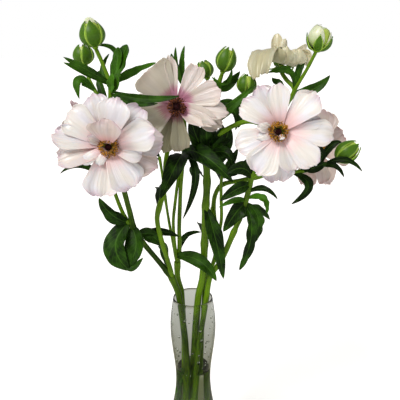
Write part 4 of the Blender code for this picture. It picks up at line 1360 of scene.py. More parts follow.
@dataclass(frozen=True)
class Leaf:
    """One leaf: where it leaves the stem, its middle, its tip, its width and its edge.

    Lighter adds to its green, and fullest moves its widest place towards the tip. Its green also follows
    the height of its middle, with a tone for each of HEIGHTS: young leaves near the buds are the
    brightest, and those under the blooms are the darkest, which is painted shade. A leaf faces outwards
    and up, and one whose tip is in front of BACK faces the viewer too.
    FOLD and WAVE are shares of its width, and STALK is one of its greatest half width.
    """

    FACING: ClassVar[float] = 0.45
    TOOTH_SWEEP: ClassVar[float] = 0.35
    FOLD: ClassVar[float] = 0.15
    WAVE: ClassVar[float] = 0.4
    STALK: ClassVar[float] = 0.14
    BACK: ClassVar[float] = 15.0
    HEIGHTS: ClassVar[tuple[float, ...]] = (230.0, 290.0, 345.0, 390.0)
    YOUTH_AND_SHADE_TONES: ClassVar[tuple[float, ...]] = (0.32, 0.10, 0.02, 0.50)

    root: Point
    middle: Point
    tip: Point
    width: float
    cut: Cut = Cut.PLAIN
    lighter: float = 0.0
    fullest: float = 0.9

    def outline(self, v: np.ndarray) -> np.ndarray:
        """The half width along the leaf, as a share of the greatest: a stalk, a full middle and a point."""
        stalk = self.STALK * (1 - v)
        return stalk + np.sin(math.pi * v ** self.fullest).clip(0, 1) ** 0.75 * (1 - stalk)

    def sew_on(self, skin: Skin, lines: np.ndarray, chance: np.random.Generator) -> None:
        """Adds the leaf to a mesh.

        Args:
            skin: the mesh.
            lines: points on the centre lines of the stem that carries it.
            chance: the source of its small irregularities.
        """
        root = lines[np.argmin(np.linalg.norm(lines - np.array(self.root), axis=1))]
        middle, tip = np.array(self.middle, float), np.array(self.tip, float)
        control = middle * 2 - (root + tip) / 2
        outward = unit(np.array([middle[0], middle[1], 0.0])) * self.FACING
        outward = outward + np.array([0.0, -1.0 if tip[1] < self.BACK else 0.0, self.FACING])
        u = np.linspace(-1, 1, 15)[None, :]
        v = np.linspace(0, 1, 37)[:, None]

        # The third angle has no use of its own, but the draws after it depend on it
        phase = chance.uniform(0, 2 * math.pi, 3)

        # The leaf runs along a curve through its middle, and its teeth lean towards its tip
        sweep = self.TOOTH_SWEEP * self.width / np.linalg.norm(tip - root)
        t = (v + sweep * np.abs(u) * np.sin(math.pi * v) * (self.cut is not Cut.PLAIN))[..., None]
        place = root * (1 - t) ** 2 + control * 2 * t * (1 - t) + tip * t ** 2
        along = unit((control - root) * (1 - t) + (tip - control) * t)
        side = unit(np.cross(along, outward))
        half = self.width / 2 * self.outline(v) * self.cut.edge(v)

        # It is folded along its midrib, and wavy, most of all at its edges
        wave = self.WAVE * np.sin(9 * v + 2 * u) * v * (1 - v)
        lift = self.width * np.abs(u) * (self.FOLD * self.outline(v) + wave)
        lift = lift + 0.035 * self.width * np.sin(17 * v + 3 * u + phase[0]) * u ** 2 * np.sin(math.pi * v)
        lift = lift + 0.25 * np.sin(30 * v + phase[1]) * np.abs(u) ** 3 * np.sin(math.pi * v)
        twist = side * (half * u)[..., None] + np.cross(side, along) * lift[..., None]
        # Painted shade: the green is darkest for leaves at the height of the blooms and lightest near the
        # buds, with a random spread
        light = float(np.interp(middle[2], self.HEIGHTS, self.YOUTH_AND_SHADE_TONES)) + chance.uniform(-0.12, 0.12)
        skin.sew(place + twist, along=v, across=u, tone=light + self.lighter)


@dataclass(frozen=True)
class Branch:
    """A round stretch of stem: its route, its radii at both ends and how light its green is.

    It has ribs along it and is swollen at its joints for a few millimetres each way. Below a height just
    above the water its green is lighter, which is painted light on the stems in the vase. Its points are
    about a spacing apart.
    """

    SPACING: ClassVar[float] = 1.7
    SIDES: ClassVar[int] = 24
    UNEVENNESS: ClassVar[float] = 0.025
    RIBS: ClassVar[int] = 6
    RIB_HEIGHT: ClassVar[float] = 0.035
    SWELLING: ClassVar[float] = 0.22
    SWOLLEN_LENGTH: ClassVar[float] = 4.5
    UNDERWATER_PAINTED_LIGHT: ClassVar[float] = 0.55
    PAINTED_LIGHT_FROM: ClassVar[float] = 122.0
    PAINTED_LIGHT_LENGTH: ClassVar[float] = 30.0

    points: list[Point]
    root_radius: float
    tip_radius: float
    tone: float = 0.26

    def route(self, spacing: float) -> np.ndarray:
        """Its centre line."""
        return smooth_route(self.points, spacing)

    def sew_on(self, skin: Skin, joints: np.ndarray, chance: np.random.Generator) -> None:
        """Adds the branch to a mesh, a little swollen at its joints.

        Args:
            skin: the mesh.
            joints: where leaves and other branches leave the stem.
            chance: the source of its small irregularities.
        """
        route = self.route(self.SPACING)
        share = np.linspace(0, 1, len(route))
        radii = self.root_radius * (1 - share) + self.tip_radius * share
        radii = radii * (1 + self.UNEVENNESS * np.sin(31 * share + chance.uniform(0, 6)))
        if len(joints):
            near = np.min(np.linalg.norm(route[:, None] - joints[None], axis=2), axis=1)
            radii = radii * (1 + self.SWELLING * np.exp(-(near / self.SWOLLEN_LENGTH) ** 2))
        grid = tube_grid(route, radii, self.SIDES)
        ribs = np.cos(self.RIBS * np.linspace(0, 2 * math.pi, self.SIDES, endpoint=False))[None, :]
        centre = grid.mean(axis=1, keepdims=True)
        grid = centre + (grid - centre) * (1 + self.RIB_HEIGHT * ribs)[..., None]
        # Painted light: the green is lighter below the water line
        pale = self.UNDERWATER_PAINTED_LIGHT * np.clip((self.PAINTED_LIGHT_FROM - centre[..., 2]) / self.PAINTED_LIGHT_LENGTH, 0, 1)
        skin.sew(grid, closed=True, rib=0.5 + 0.5 * ribs, tone=self.tone + pale)


@dataclass(frozen=True)
class Calyx:
    """Five sepals on a knob of stem, which sits a drop behind the place of a bloom or bud.

    The sepals have a length and a width, the first one's turn is in degrees, and the knob has a half
    length and a radius.
    """

    SEPALS: ClassVar[int] = 5

    place: Point
    axis: Point
    drop: float
    size: tuple[float, float]
    tilts: tuple[float, float, float]
    first_turn: float
    knob: tuple[float, float]

    def sew_on(self, sepals: Skin, knobs: Skin, chance: np.random.Generator) -> None:
        """Adds the knob and its sepals to their meshes.

        Args:
            sepals: the mesh of the sepals.
            knobs: the mesh of the knobs.
            chance: the source of small irregularities.
        """
        seat = np.array(self.place) - frame_on(self.axis)[0] * self.drop
        knobs.sew(blob_grid(seat, self.axis, *self.knob, sides=20, rings=10), closed=True, rib=0.5, tone=0.5)
        for index in range(self.SEPALS):
            turn = 360 / self.SEPALS * index + self.first_turn
            blade = Petal(turn, *self.size, self.tilts, lift=0.0, cup=0.22, wave=0.0,
                          outline=Outline.SEPAL, ruffle=0.3)
            blade.sew_on(sepals, seat, self.axis, chance, rows=20, columns=15)


@dataclass
class Stem:
    """A cut stem that stands in the vase, with its branches, its leaves and the sepals at its ends.

    Holding is the size of the sepals that hold the opening bud. A bloom's knob lies behind its
    middle by the bloom's drop, and the stem carries a bloom or bud if it has an end that near to it.
    Leaves root at points about a spacing apart on its centre lines.
    """

    name: str
    branches: list[Branch]
    leaves: list[Leaf]
    seed: int = 5
    root_spacing: float = 2.0
    leaf_thickness: float = 0.38
    holding: tuple[float, float] = (15.5, 7.4)
    holding_tilts: tuple[float, float, float] = (8, 60, 112)
    holding_turn: float = 46.0
    bloom_sepal_turn: float = 20.0
    bloom_drop: float = 5.45
    bloom_knob: tuple[float, float] = (2.2, 3.4)
    bud_drop: float = 1.6
    holding_knob: tuple[float, float] = (1.2, 3.0)
    bud_knob: tuple[float, float] = (1.6, 2.3)
    bud_knob_drop: float = 0.2

    def green_parts(self) -> Skin:
        """All the stretches of stem.

        Returns:
            The stalks.
        """
        chance = np.random.default_rng(self.seed)
        joints = [leaf.root for leaf in self.leaves] + [branch.points[0] for branch in self.branches[1:]]
        skin = Skin()
        for branch in self.branches:
            branch.sew_on(skin, np.array(joints), chance)
        return skin

    def foliage(self) -> Skin:
        """All the leaves.

        Returns:
            The leaves.
        """
        chance = np.random.default_rng(self.seed + 1)
        lines = np.concatenate([branch.route(self.root_spacing) for branch in self.branches])
        skin = Skin()
        for leaf in self.leaves:
            leaf.sew_on(skin, lines, chance)
        return skin

    def carries(self, place: Point) -> bool:
        """Whether one of its branches ends near there."""
        ends = np.array([branch.points[-1] for branch in self.branches], float)
        return bool(np.min(np.linalg.norm(ends - np.array(place), axis=1)) < self.bloom_drop)

    def sepal_rings(self, blooms: list[Bloom], buds: list[Bud]) -> tuple[Skin, Skin]:
        """The knobs under its blooms and buds, and the sepals behind its blooms and round its opening bud.

        Args:
            blooms: every bloom of the bunch.
            buds: every bud.

        Returns:
            The sepals and the knobs.
        """
        chance = np.random.default_rng(self.seed + 2)
        sepals, knobs = Skin(), Skin()
        own_blooms = [bloom for bloom in blooms if self.carries(bloom.centre)]
        own_buds = [bud for bud in buds if self.carries(bud.base)]
        for bud in own_buds:
            seat = np.array(bud.base) - frame_on(bud.axis)[0] * self.bud_knob_drop
            knob = blob_grid(seat, bud.axis, *self.bud_knob, sides=20, rings=8)
            knobs.sew(knob, closed=True, rib=0.5, tone=0.5)
        calyxes = [Calyx(bloom.centre, bloom.face, self.bloom_drop, bloom.sepal_size, bloom.sepal_tilts,
                         self.bloom_sepal_turn, self.bloom_knob) for bloom in own_blooms]
        calyxes += [Calyx(bud.base, bud.axis, self.bud_drop, self.holding, self.holding_tilts,
                          self.holding_turn, self.holding_knob)
                    for bud in own_buds if bud.stage is BudStage.OPENING]
        for calyx in calyxes:
            calyx.sew_on(sepals, knobs, chance)
        return sepals, knobs

    def build(self, blooms: list[Bloom], buds: list[Bud]) -> None:
        """Makes the stem and all that grows on it.

        Args:
            blooms: every bloom of the bunch.
            buds: every bud.
        """
        install(self.green_parts().piece(self.name + "_stalks", [STEM]), "stem_and_leaf", self.name)
        leaves = self.foliage().piece(self.name + "_leaves", [LEAF_FACE, LEAF_BACK], self.leaf_thickness)
        leaves.modifiers["Thickness"].material_offset = 1
        install(leaves, "stem_and_leaf", self.name)
        sepals, knobs = self.sepal_rings(blooms, buds)
        if sepals.count:
            item = sepals.piece(self.name + "_sepals", [SEPAL], self.leaf_thickness)
            install(item, "stem_and_leaf", self.name)
        if knobs.count:
            install(knobs.piece(self.name + "_receptacles", [STEM]), "stem_and_leaf", self.name)


# Shade and age on a petal darken and dull its colour: painted shade on the petals that lie in the shadow of
# other petals and blooms, such as the upper left and lower petals of the mid bloom, the upright hood over the
# left bloom's middle and the outer petals of the white bloom
BLOOMS: list[Bloom] = [
    Bloom("bloom_left", (-60, -58, 342), (0.02, -0.96, 0.28), [
        Petal(-18, 37, 25, (5, 8, -12), -1.2, 0.10, 1.2, roll=16, curl=-1.5),
        Petal(43, 35, 23, (5, 8, -8), -1.2, 0.10, 1.2),
        Petal(84, 38, 25, (2, 4, -18), -1.6, 0.12, 1.4, age=0.3),
        Petal(113, 36, 27, (0, 5, -18), -1.2, 0.12, 1.4, age=0.6),
        Petal(-51, 35, 26, (24, 24, -16), 0.2, 0.20, 1.2, roll=4, curl=-2.4),
        Petal(-79, 37, 20, (22, 18, -6), 0.4, 0.14, 1.0, roll=-8, curl=0.8),
        Petal(-108, 36, 18, (20, 20, -8), 0.6, 0.30, 0.8, Outline.BROAD, roll=-16, fold=-1.6,
              curl=-1.4, age=0.3),
        Petal(-171, 36, 28, (14, 10, -24), -0.2, 0.12, 1.6, roll=8, curl=-1.0),
        Petal(-39, 39, 8, (2, 4, 0), -2.0, 0.30, 0.4, age=0.8),
        Petal(148, 34, 30, (16, 12, -20), 0.6, 0.14, 1.6, roll=20, fold=1.8),
        Petal(76, 35, 26, (26, 20, -4), 0.2, 0.16, 1.4, roll=-10, fold=1.2, curl=1.4),
        Petal(14, 33, 29, (30, 26, 2), 0.8, 0.16, 1.4, roll=18, curl=-1.6),
    ], WHITE_PINK, "petals_white_pink", inner=[
        Petal(-2, 22, 26, (58, 66, 30), 6.6, 0.12, 1.6, Outline.SQUARE, 1.5, roll=12, curl=-1.5, age=0.7),
        Petal(105, 24, 15, (16, 40, -24), 1.4, 0.30, 0.6, roll=20, fold=-1.2, curl=-2.0),
        Petal(-146, 15, 8, (40, 20, -80), 5.2, -0.45, 0.2, Outline.BROAD, 0.3, roll=0),
        Petal(-120, 24, 8, (34, 16, -76), 5.2, -0.45, 0.2, Outline.BROAD, 0.3, roll=0),
        Petal(-62, 15, 9, (14, 40, 20), 0.8, 0.30, 0.8, roll=16, fold=-1.0, curl=-1.0, age=0.6),
    ], sway=(1.2, -1.8), seed=1),
    Bloom("bloom_mid", (-12, -18, 367), (0.05, -0.96, 0.27), [
        Petal(-40, 32, 35, (16, 12, -6), 0.0, 0.12, 1.2, Outline.SQUARE, 0.8, roll=10, fold=-1.2, age=1.0),
        Petal(-8, 35, 12, (22, 18, 4), 0.8, 0.30, 0.4, roll=28, fold=-2.2, age=0.3),
        Petal(34, 32, 16, (24, 20, 8), 0.4, 0.30, 0.6, Outline.SQUARE, roll=-10, fold=1.6, curl=2.0),
        Petal(76, 33, 21, (18, 16, 2), 0.6, 0.24, 1.0, Outline.SQUARE, roll=-14, fold=1.2, curl=2.4),
        Petal(101, 39, 17, (12, 20, -4), 0.2, 0.30, 1.4, roll=12, fold=1.8, curl=-1.5),
        Petal(117, 37, 17, (-6, 14, -8), -2.2, 0.30, 1.4, roll=4, fold=1.2, age=0.4),
        Petal(175, 35, 16, (14, 6, -22), 0.4, 0.18, 1.0, Outline.SQUARE, roll=10, age=1.5),
        Petal(-166, 36, 18, (4, 2, -20), -1.2, 0.14, 1.0, age=1.7),
        Petal(-126, 37, 27, (14, 8, -14), 0.2, 0.14, 1.2, Outline.SQUARE, roll=4, age=1.3),
        Petal(-97, 31, 24, (6, 6, -10), -1.0, 0.12, 1.2, age=0.8),
    ], SHADED_MAUVE, "petals_mauve_pink", DARK_POLLEN, [
        Petal(114, 27, 17, (10, 52, -50), 1.4, 0.46, 1.6, Outline.BROAD, 1.4, roll=-40, fold=4.5, curl=2.0),
        Petal(131, 27, 13, (24, 44, 40), 1.4, 0.50, 1.0, roll=30, fold=-2.0),
    ], sway=(0.3, -3.0), dome=(2.7, 2.3), seed=2),
    Bloom("bloom_right", (66, -48, 351), (-0.1, -0.96, 0.25), [
        Petal(-28, 35, 20, (4, 6, -12), -1.4, 0.12, 1.2),
        Petal(-178, 36, 27, (2, 2, -20), -1.6, 0.12, 1.8, ruffle=1.6),
        Petal(74, 28, 13, (8, 10, -4), -1.0, 0.14, 0.8),
        Petal(-57, 34, 19, (24, 20, -8), 0.4, 0.16, 1.2, Outline.SQUARE, roll=14, curl=-1.6),
        Petal(-111, 33, 24, (16, 10, -8), -0.2, 0.16, 1.0, roll=-8, curl=-2.0),
        Petal(-152, 34, 27, (16, 10, -14), 0.6, 0.16, 1.0, roll=4, fold=0.8),
        Petal(-7, 32, 19, (22, 18, 2), 0.2, 0.24, 1.0, roll=-4, fold=1.2),
        Petal(43, 34, 25, (20, 14, 0), 0.4, 0.16, 1.2, roll=18, curl=2.2),
        Petal(93, 37, 22, (16, 12, -10), 0.2, 0.18, 1.0, roll=6, curl=-1.6),
        Petal(134, 34, 22, (20, 10, -12), 0.8, 0.20, 1.0, roll=-4, fold=1.4),
        Petal(162, 29, 18, (14, 8, -14), 0.4, 0.22, 1.0, roll=10),
    ], WHITE_PINK, "petals_white_pink", inner=[
        Petal(-76, 15, 9, (24, 50, 30), 1.3, 0.36, 0.6, roll=24, curl=-2.0),
        Petal(-106, 16, 7, (30, 40, -60), 2.0, -0.40, 0.4, Outline.BROAD, 0.6, roll=-10),
        Petal(150, 6, 4, (70, 40, -40), 6.4, -0.30, 0.2, Outline.BROAD, 0.2, roll=0),
    ], sway=(-1.8, -1.2), seed=3),
    Bloom("bloom_white", (74, 18, 400), (0.05, 0.35, 0.93), [
        Petal(32, 49, 22, (46, -62, -100), -0.6, 0.10, 1.0, Outline.BROAD, 1.4, roll=4, fold=2.2, age=0.7),
        Petal(88, 24, 22, (40, 0, -84), 0.4, 0.16, 1.2, ruffle=1.3, age=0.2),
        Petal(18, 27, 22, (-56, 0, 100), -1.2, 0.20, 1.0, ruffle=0.9, age=0.8),
        Petal(-8, 27, 20, (-60, 0, 110), -1.6, 0.24, 1.0, ruffle=0.9, age=0.3),
        Petal(-38, 28, 24, (-60, 0, 108), -1.6, 0.20, 1.0, ruffle=0.9, age=0.1),
        Petal(-82, 24, 24, (0, 24, -60), -1.0, 0.18, 1.4, ruffle=1.6, curl=-2.0),
        Petal(-124, 24, 24, (30, 40, 10), 0.2, 0.20, 1.0),
        Petal(156, 28, 11, (24, 100, 92), 0.6, 0.50, 0.4, Outline.BROAD, 0.3, fold=3.0),
        Petal(126, 28, 22, (28, 34, 6), -0.4, 0.20, 1.2, ruffle=1.4),
    ], CREAM, "petals_cream", inner=[
        Petal(-60, 15, 7, (70, 92, 84), 2.0, 0.50, 0.3, Outline.BROAD),
    ], sepal_tilts=(-50, 0, 150), sepal_size=(18.0, 5.0), seed=4, dome_rise=2.6, rise=(5.0, 3.8)),
    Bloom("bloom_back", (104, 8, 326), (0.30, -0.90, 0.32), [
        Petal(-150, 33, 24, (22, 14, -12), 0.6, 0.14, 1.2),
        Petal(-110, 32, 22, (6, 2, -16), -1.0, 0.12, 1.0),
        Petal(-68, 31, 23, (24, 18, -6), 0.6, 0.16, 1.0),
        Petal(-24, 33, 22, (6, 4, -12), -1.0, 0.12, 1.0),
        Petal(22, 33, 24, (24, 18, -6), 0.6, 0.14, 1.2),
        Petal(66, 32, 22, (6, 4, -10), -1.0, 0.12, 1.0),
        Petal(108, 31, 21, (24, 16, -8), 0.6, 0.16, 1.0),
        Petal(152, 32, 23, (6, 2, -18), -1.0, 0.12, 1.2),
        Petal(-178, 30, 18, (32, 24, 0), 1.2, 0.18, 0.8),
    ], BACK_MAUVE, "petals_mauve_pink", seed=5),
]

BUDS: list[Bud] = [
    Bud("bud_top_left", (-74.1, -12, 410.0), (-0.18, 0.0, 0.98), 20.0, 18.2, BudStage.TIPPED),
    Bud("bud_left", (-87, 6, 396.0), (-0.08, 0.0, 1.0), 16.5, 15.6),
    Bud("bud_centre", (25.1, 5, 391.0), (0.28, 0.0, 0.96), 20.0, 15.5, sepal_half_turn=39.0),
    Bud("bud_small", (12.9, 20, 385.0), (-0.30, 0.10, 0.95), 15.0, 13.5),
    Bud("bud_inner", (43.5, 2, 373.2), (0.12, 0.0, 0.98), 16.5, 15.0, sepal_half_turn=33.0),
    Bud("bud_opening", (95.8, -17, 408.8), (0.14, 0.0, 0.99), 17.4, 16.8, BudStage.OPENING,
        roundness=0.52, heart_reach=0.9),
    Bud("bud_right", (117.7, -16, 322.2), (0.80, 0.10, 0.58), 22.0, 16.5, sepal_half_turn=32.0),
]

# The first branch of each stem is the trunk that stands in the water
STEMS: list[Stem] = [
    Stem("stem_left", [
        Branch([(-11, -14, 9), (-5.5, -5.5, 105), (-12.2, -3, 190), (-19, -7, 214)], 3.1, 2.8, 0.0),
        Branch([(-18, -6.3, 211), (-27, -10, 226), (-42, -17, 250), (-48, -21, 262), (-51, -27, 282),
                (-54, -34, 303), (-58, -38, 322), (-60, -43, 336), (-60.1, -54.7, 341.1)],
               2.4, 2.0, -0.12),
        Branch([(-47, -20.5, 260), (-53, -22, 270), (-59, -22, 283), (-65, -22, 305), (-67, -21, 330),
                (-66, -19, 355), (-63, -18, 380), (-68, -15, 396), (-73.9, -12, 409.2)],
               1.6, 1.5, 0.3),
        Branch([(-66, -19, 360), (-76, -9, 375), (-83, -1, 386), (-87, 6, 395.2)], 1.4, 1.3),
        Branch([(-18.5, -6.6, 212), (-21, -11, 228), (-26, -18, 252), (-29, -23, 273), (-27, -22, 284),
                (-22, -16, 299), (-22, -8, 317), (-18, -2, 340), (-13.5, -4, 358), (-12.2, -14.7, 366.1)],
               2.1, 1.8),
    ], [
        Leaf((-63, -18, 383), (-79, -24, 393.5), (-95, -29, 403), 6.0),
        Leaf((-63, -17, 381), (-55, -14, 399), (-49.5, -12, 412), 13.0, fullest=1.2),
        Leaf((-63, -17, 381), (-57.5, -14, 398), (-57, -11, 410), 9.0, fullest=1.6),
        Leaf((-65, -18, 381), (-82, -20, 392), (-96, -26, 399), 5.0),
        Leaf((-63, -16, 382), (-59, -8, 406), (-78, -6, 411), 4.0),
        Leaf((-66, -15, 381), (-70, -8, 392), (-65, -4, 405), 5.5),
        Leaf((-76, -8, 376), (-88, -13, 385), (-88, -17, 371), 8.0),
        Leaf((-66, -17, 367), (-73, -6, 380), (-75, 1, 392), 6.0),
        Leaf((-64, -18, 375), (-58, -23, 382), (-54, -23, 391), 5.0),
        Leaf((-63, -17, 381), (-46, -7, 391), (-29, 5, 398), 7.5, lighter=0.3),
        Leaf((-64, -18, 375), (-61, -24, 384), (-60, -23, 391), 7.0, lighter=0.3),
        Leaf((-64, -18, 375), (-57, -24, 383), (-57, -23, 390), 6.0, lighter=0.2),
        Leaf((-64, -18, 378), (-36, -36, 373), (-8, -44, 376), 6.0, fullest=1.1),
        Leaf((-64, -18, 376), (-44, -36, 370), (-24, -43, 370.5), 5.0),
        Leaf((-65, -22, 305), (-84, -33, 321), (-102, -38, 316), 4.5),
        Leaf((-55, -22, 270), (-65, -30, 280), (-74, -33, 295), 11.5),
        Leaf((-54, -22, 269), (-63, -32, 252), (-51, -36, 233), 20.0),
        Leaf((-51, -22, 266), (-46, -31, 254), (-53, -35, 236), 15.0),
        Leaf((-51, -22, 266), (-52, -34, 238), (-40, -36, 245), 9.0),
        Leaf((-46, -18, 259), (-36, -14, 256), (-25, -15, 245), 12.0),
        Leaf((-45, -18, 256), (-29, -11, 258), (-11, -13, 254), 7.0),
        Leaf((-22, -9, 219), (-26, 12, 232), (-34, 32, 226), 9.0),
        # These two leaves stand in the water and are much lighter: painted light, as on the stems below the
        # water
        Leaf((-6, -6, 114), (-13, -5, 94), (-12, -6, 62), 7.0, lighter=1.0),
        Leaf((-6, -6, 114), (-12, 5, 96), (-10, 8, 66), 8.0, lighter=1.2),
        Leaf((-27, -22, 283), (-27, -3, 294), (-23, 15, 298), 8.0),
    ]),
    Stem("stem_mid", [
        Branch([(-14, 2, 9), (-9, 4, 105), (-10.5, 6.5, 190), (-14, 5, 207), (-14, 5, 223)],
               2.6, 2.5, 0.42),
        Branch([(-14, 5, 220), (-12, 5, 236), (-12, 5, 255), (-11, 4, 278), (-10, 3, 296), (-8, 3, 316),
                (-6, 6, 336), (-7, 8, 360), (-7, 9, 386)], 1.9, 1.4),
        Branch([(-14, 5, 221), (-16, 3, 240), (-17, 2, 262), (-15, 2, 281), (-12, 3, 302), (-9, 3, 314)],
               1.4, 1.3),
        Branch([(-14, 5, 219), (-18, 6, 242), (-21, 7, 260), (-24, 8, 282), (-26, 10, 300),
                (-29, 16, 318)],
               1.3, 1.1),
        Branch([(-6.5, 8, 356), (4, 13, 369), (11, 18, 376), (13, 20, 384.2)], 1.3, 1.2),
    ], [
        Leaf((-8, 3, 322), (-12, -17, 320), (-25, -33, 294), 16.0),
        Leaf((-7, 4, 325), (3, -15, 308), (-8, -20, 272), 6.5),
        Leaf((-7, 4, 326), (11, -17, 325), (33, -25, 306), 15.0),
        Leaf((-14, 5, 229), (6, -12, 231), (21, -17, 214), 12.0),
        Leaf((-14, 5, 228), (-7, 12, 244), (8, 14, 248), 5.5),
        Leaf((-7, 9, 380), (-14, 11, 395), (-17, 14, 405), 5.5),
        Leaf((-7, 9, 383), (-8, 10, 398), (-6, 12, 411), 5.0),
        Leaf((-7, 9, 377), (-12, 6, 394), (-13, 6, 410), 4.5),
        Leaf((-29, 16, 317), (-36, 26, 332), (-32, 34, 345), 8.0),
        Leaf((-28, 14, 314), (-44, 20, 318), (-58, 24, 306), 8.0),
        Leaf((-24, 8, 284), (-30, 26, 288), (-28, 44, 272), 8.5),
    ]),
    Stem("stem_centre", [
        Branch([(-6, 14, 9), (-0.5, 3, 105), (5, -1, 190), (9, -3, 212), (10.5, -3, 240), (11, -3, 270),
                (12.5, -2, 296), (12, 0, 322)], 3.4, 2.8),
        Branch([(12, 0, 319), (11, 1, 336), (15, 3, 354), (20, 4, 372), (22, 5, 381), (24.9, 5, 390.2)],
               2.0, 1.5),
        Branch([(12, 0, 320), (17, -5, 336), (29, -12, 347), (44, -20, 354), (57, -28, 352),
                (64, -34, 348.5), (66.3, -44.7, 350.2)], 2.1, 1.8),
        Branch([(17, 3.5, 361), (29, 5, 363), (40, 3.5, 366), (43.4, 2, 372.4)], 1.3, 1.2),
    ], [
        Leaf((11, -3, 279), (20, -15, 252), (27, -19, 217), 13.0),
        Leaf((12, 0, 322), (4, -9, 339), (-1, -12, 356), 13.0),
        Leaf((12, 0, 322), (20, -7, 333), (30, -6, 342), 13.0, lighter=0.12),
        Leaf((12, 0, 316), (22, -4, 322), (31, -4, 334), 12.0),
        Leaf((12, 0, 322), (14, 8, 338), (19, 12, 353), 11.0),
        Leaf((12, 0, 323), (24, -8, 331), (31, -7, 349), 15.0, lighter=0.18),
        Leaf((12, 0, 322), (12, -9, 340), (10, -12, 358), 13.0),
        Leaf((12, 0, 328), (21, -8, 338), (25, -10, 350), 10.0, lighter=0.12),
        Leaf((12, 1, 333), (22, -9, 336), (32, -5, 342), 10.0),
        Leaf((12, 0, 322), (27, -14, 328), (33, -16, 315), 9.5),
        Leaf((13, 1, 348), (28, -8, 361), (51, -9, 382), 8.0, lighter=0.3),
        Leaf((18, 4, 364), (34, 6, 362), (39, 6, 345), 12.0, Cut.TOOTHED, 0.2),
        Leaf((19, 4, 368), (22, 0, 378), (16, -2, 387), 4.5, lighter=0.2),
        Leaf((19, 4, 368), (17, 11, 377), (19, 15, 386), 6.0),
        Leaf((21, 4, 376), (30, 11, 380), (40, 14, 391), 8.5),
        Leaf((18, 4, 364), (34, 1, 360), (36, -2, 344), 7.5),
        Leaf((22, 5, 381), (29, -2, 384), (32, -4, 394), 4.0),
        Leaf((12, 1, 330), (22, 18, 338), (20, 34, 328), 9.5),
        Leaf((12, -2, 300), (2, 16, 306), (2, 32, 292), 9.5),
        Leaf((10.5, -3, 244), (7, 16, 254), (10, 34, 246), 8.5),
    ]),
    Stem("stem_thin", [
        Branch([(12, 6, 9), (8, 4, 105), (10.5, 6, 190), (12.5, 6, 206), (19, 6, 222), (22, 6, 240),
                (20, 7, 260), (18, 8, 274)], 2.0, 1.9),
        Branch([(18.3, 8, 271), (20, 9, 285), (26, 10, 294), (43, 14, 297), (60, 19, 299), (80, 26, 306),
                (96, 27, 317), (102, 20, 322.5), (103, 11.1, 324.9)], 1.9, 1.7),
        Branch([(22, 6, 244), (25.5, 5, 262), (25, 3, 286), (25, 1, 301), (27, 0, 310)], 1.5, 1.3),
    ], [
        Leaf((27, 0, 308), (31, -9, 317), (38, -10, 331), 7.5),
        Leaf((26, 0, 307), (38, 2, 309), (47, 8, 318), 7.0),
        Leaf((48, 15, 298), (60, 34, 306), (76, 48, 298), 9.0),
        Leaf((26, 11, 294), (22, 28, 300), (30, 46, 290), 8.5),
        Leaf((84, 27, 308), (84, 42, 322), (92, 50, 338), 8.0),
    ]),
    Stem("stem_right", [
        Branch([(1, -16, 9), (2, -6, 105), (12.6, -1.5, 190), (16, -3, 212), (25, -4, 227),
                (37, -6, 258)],
               2.6, 2.4),
        Branch([(36, -6, 255), (43, -8, 276), (47, -10, 292), (50, -12, 308), (57, -15, 328),
                (67, -14, 350), (76, -9, 366), (83, -2, 377), (77, 6, 385), (73.8, 12.5, 391),
                (73.8, 16.8, 396.8)],
               2.2, 1.6),
        Branch([(76, -9, 365), (83, -13, 381), (90.4, -16, 396), (95.7, -17, 408.0)], 1.4, 1.3),
        Branch([(50, -12, 306), (58, -16, 311), (70, -20, 312), (88, -22, 314), (104, -20, 318),
                (117, -16.1, 321.7)], 1.5, 1.4),
    ], [
        Leaf((45, -9, 281), (37, -18, 278), (26, -22, 262), 14.0),
        Leaf((46, -9, 282), (50, -20, 260), (40, -25, 228), 10.5, Cut.TOOTHED, fullest=1.1),
        Leaf((46, -9, 284), (56, -14, 270), (52, -15, 248), 9.5, Cut.TOOTHED),
        Leaf((46, -9, 285), (35, -20, 289), (22, -24, 284), 5.0, lighter=0.5),
        Leaf((47, -10, 287), (58, -20, 291), (62, -24, 279), 6.5, Cut.TOOTHED, 0.7),
        Leaf((48, -11, 293), (59, -20, 299), (70, -24, 291), 5.0),
        Leaf((49, -11, 299), (37, -21, 299), (23, -25, 290), 10.0),
        Leaf((50, -12, 306), (41, -20, 316), (28, -25, 313), 12.0),
        Leaf((82, -3, 375), (97, -8, 378), (109, -10, 389), 8.5),
        Leaf((83, -3, 376), (78, 0, 391), (61, 2, 390), 6.5),
        Leaf((80, -5, 371), (70, -2, 381), (66, 5, 386), 7.5),
        Leaf((82, -3, 376), (86, 3, 391), (93, 8, 402), 6.5),
        Leaf((80, -21, 313), (93, -30, 304), (80, -31, 289), 8.0),
        Leaf((103, -20, 318), (103, -26, 330), (93, -29, 334), 6.5),
        Leaf((103, -20, 318), (112, -13, 332), (122, -12, 336), 6.5),
        Leaf((106, -20, 319), (122, -25, 324), (136, -27, 315), 5.0),
        Leaf((104, -20, 318), (113, -29, 320), (120, -33, 312), 5.0),
        Leaf((88, -22, 314), (95, -28, 322), (103, -29, 330), 9.5),
        Leaf((92, -22, 315), (98, -29, 319), (107, -29, 323), 8.0),
        Leaf((40, -7, 268), (56, 8, 272), (70, 14, 260), 9.0),
        Leaf((70, -13, 355), (62, 6, 364), (58, 22, 358), 8.0),
    ]),
]


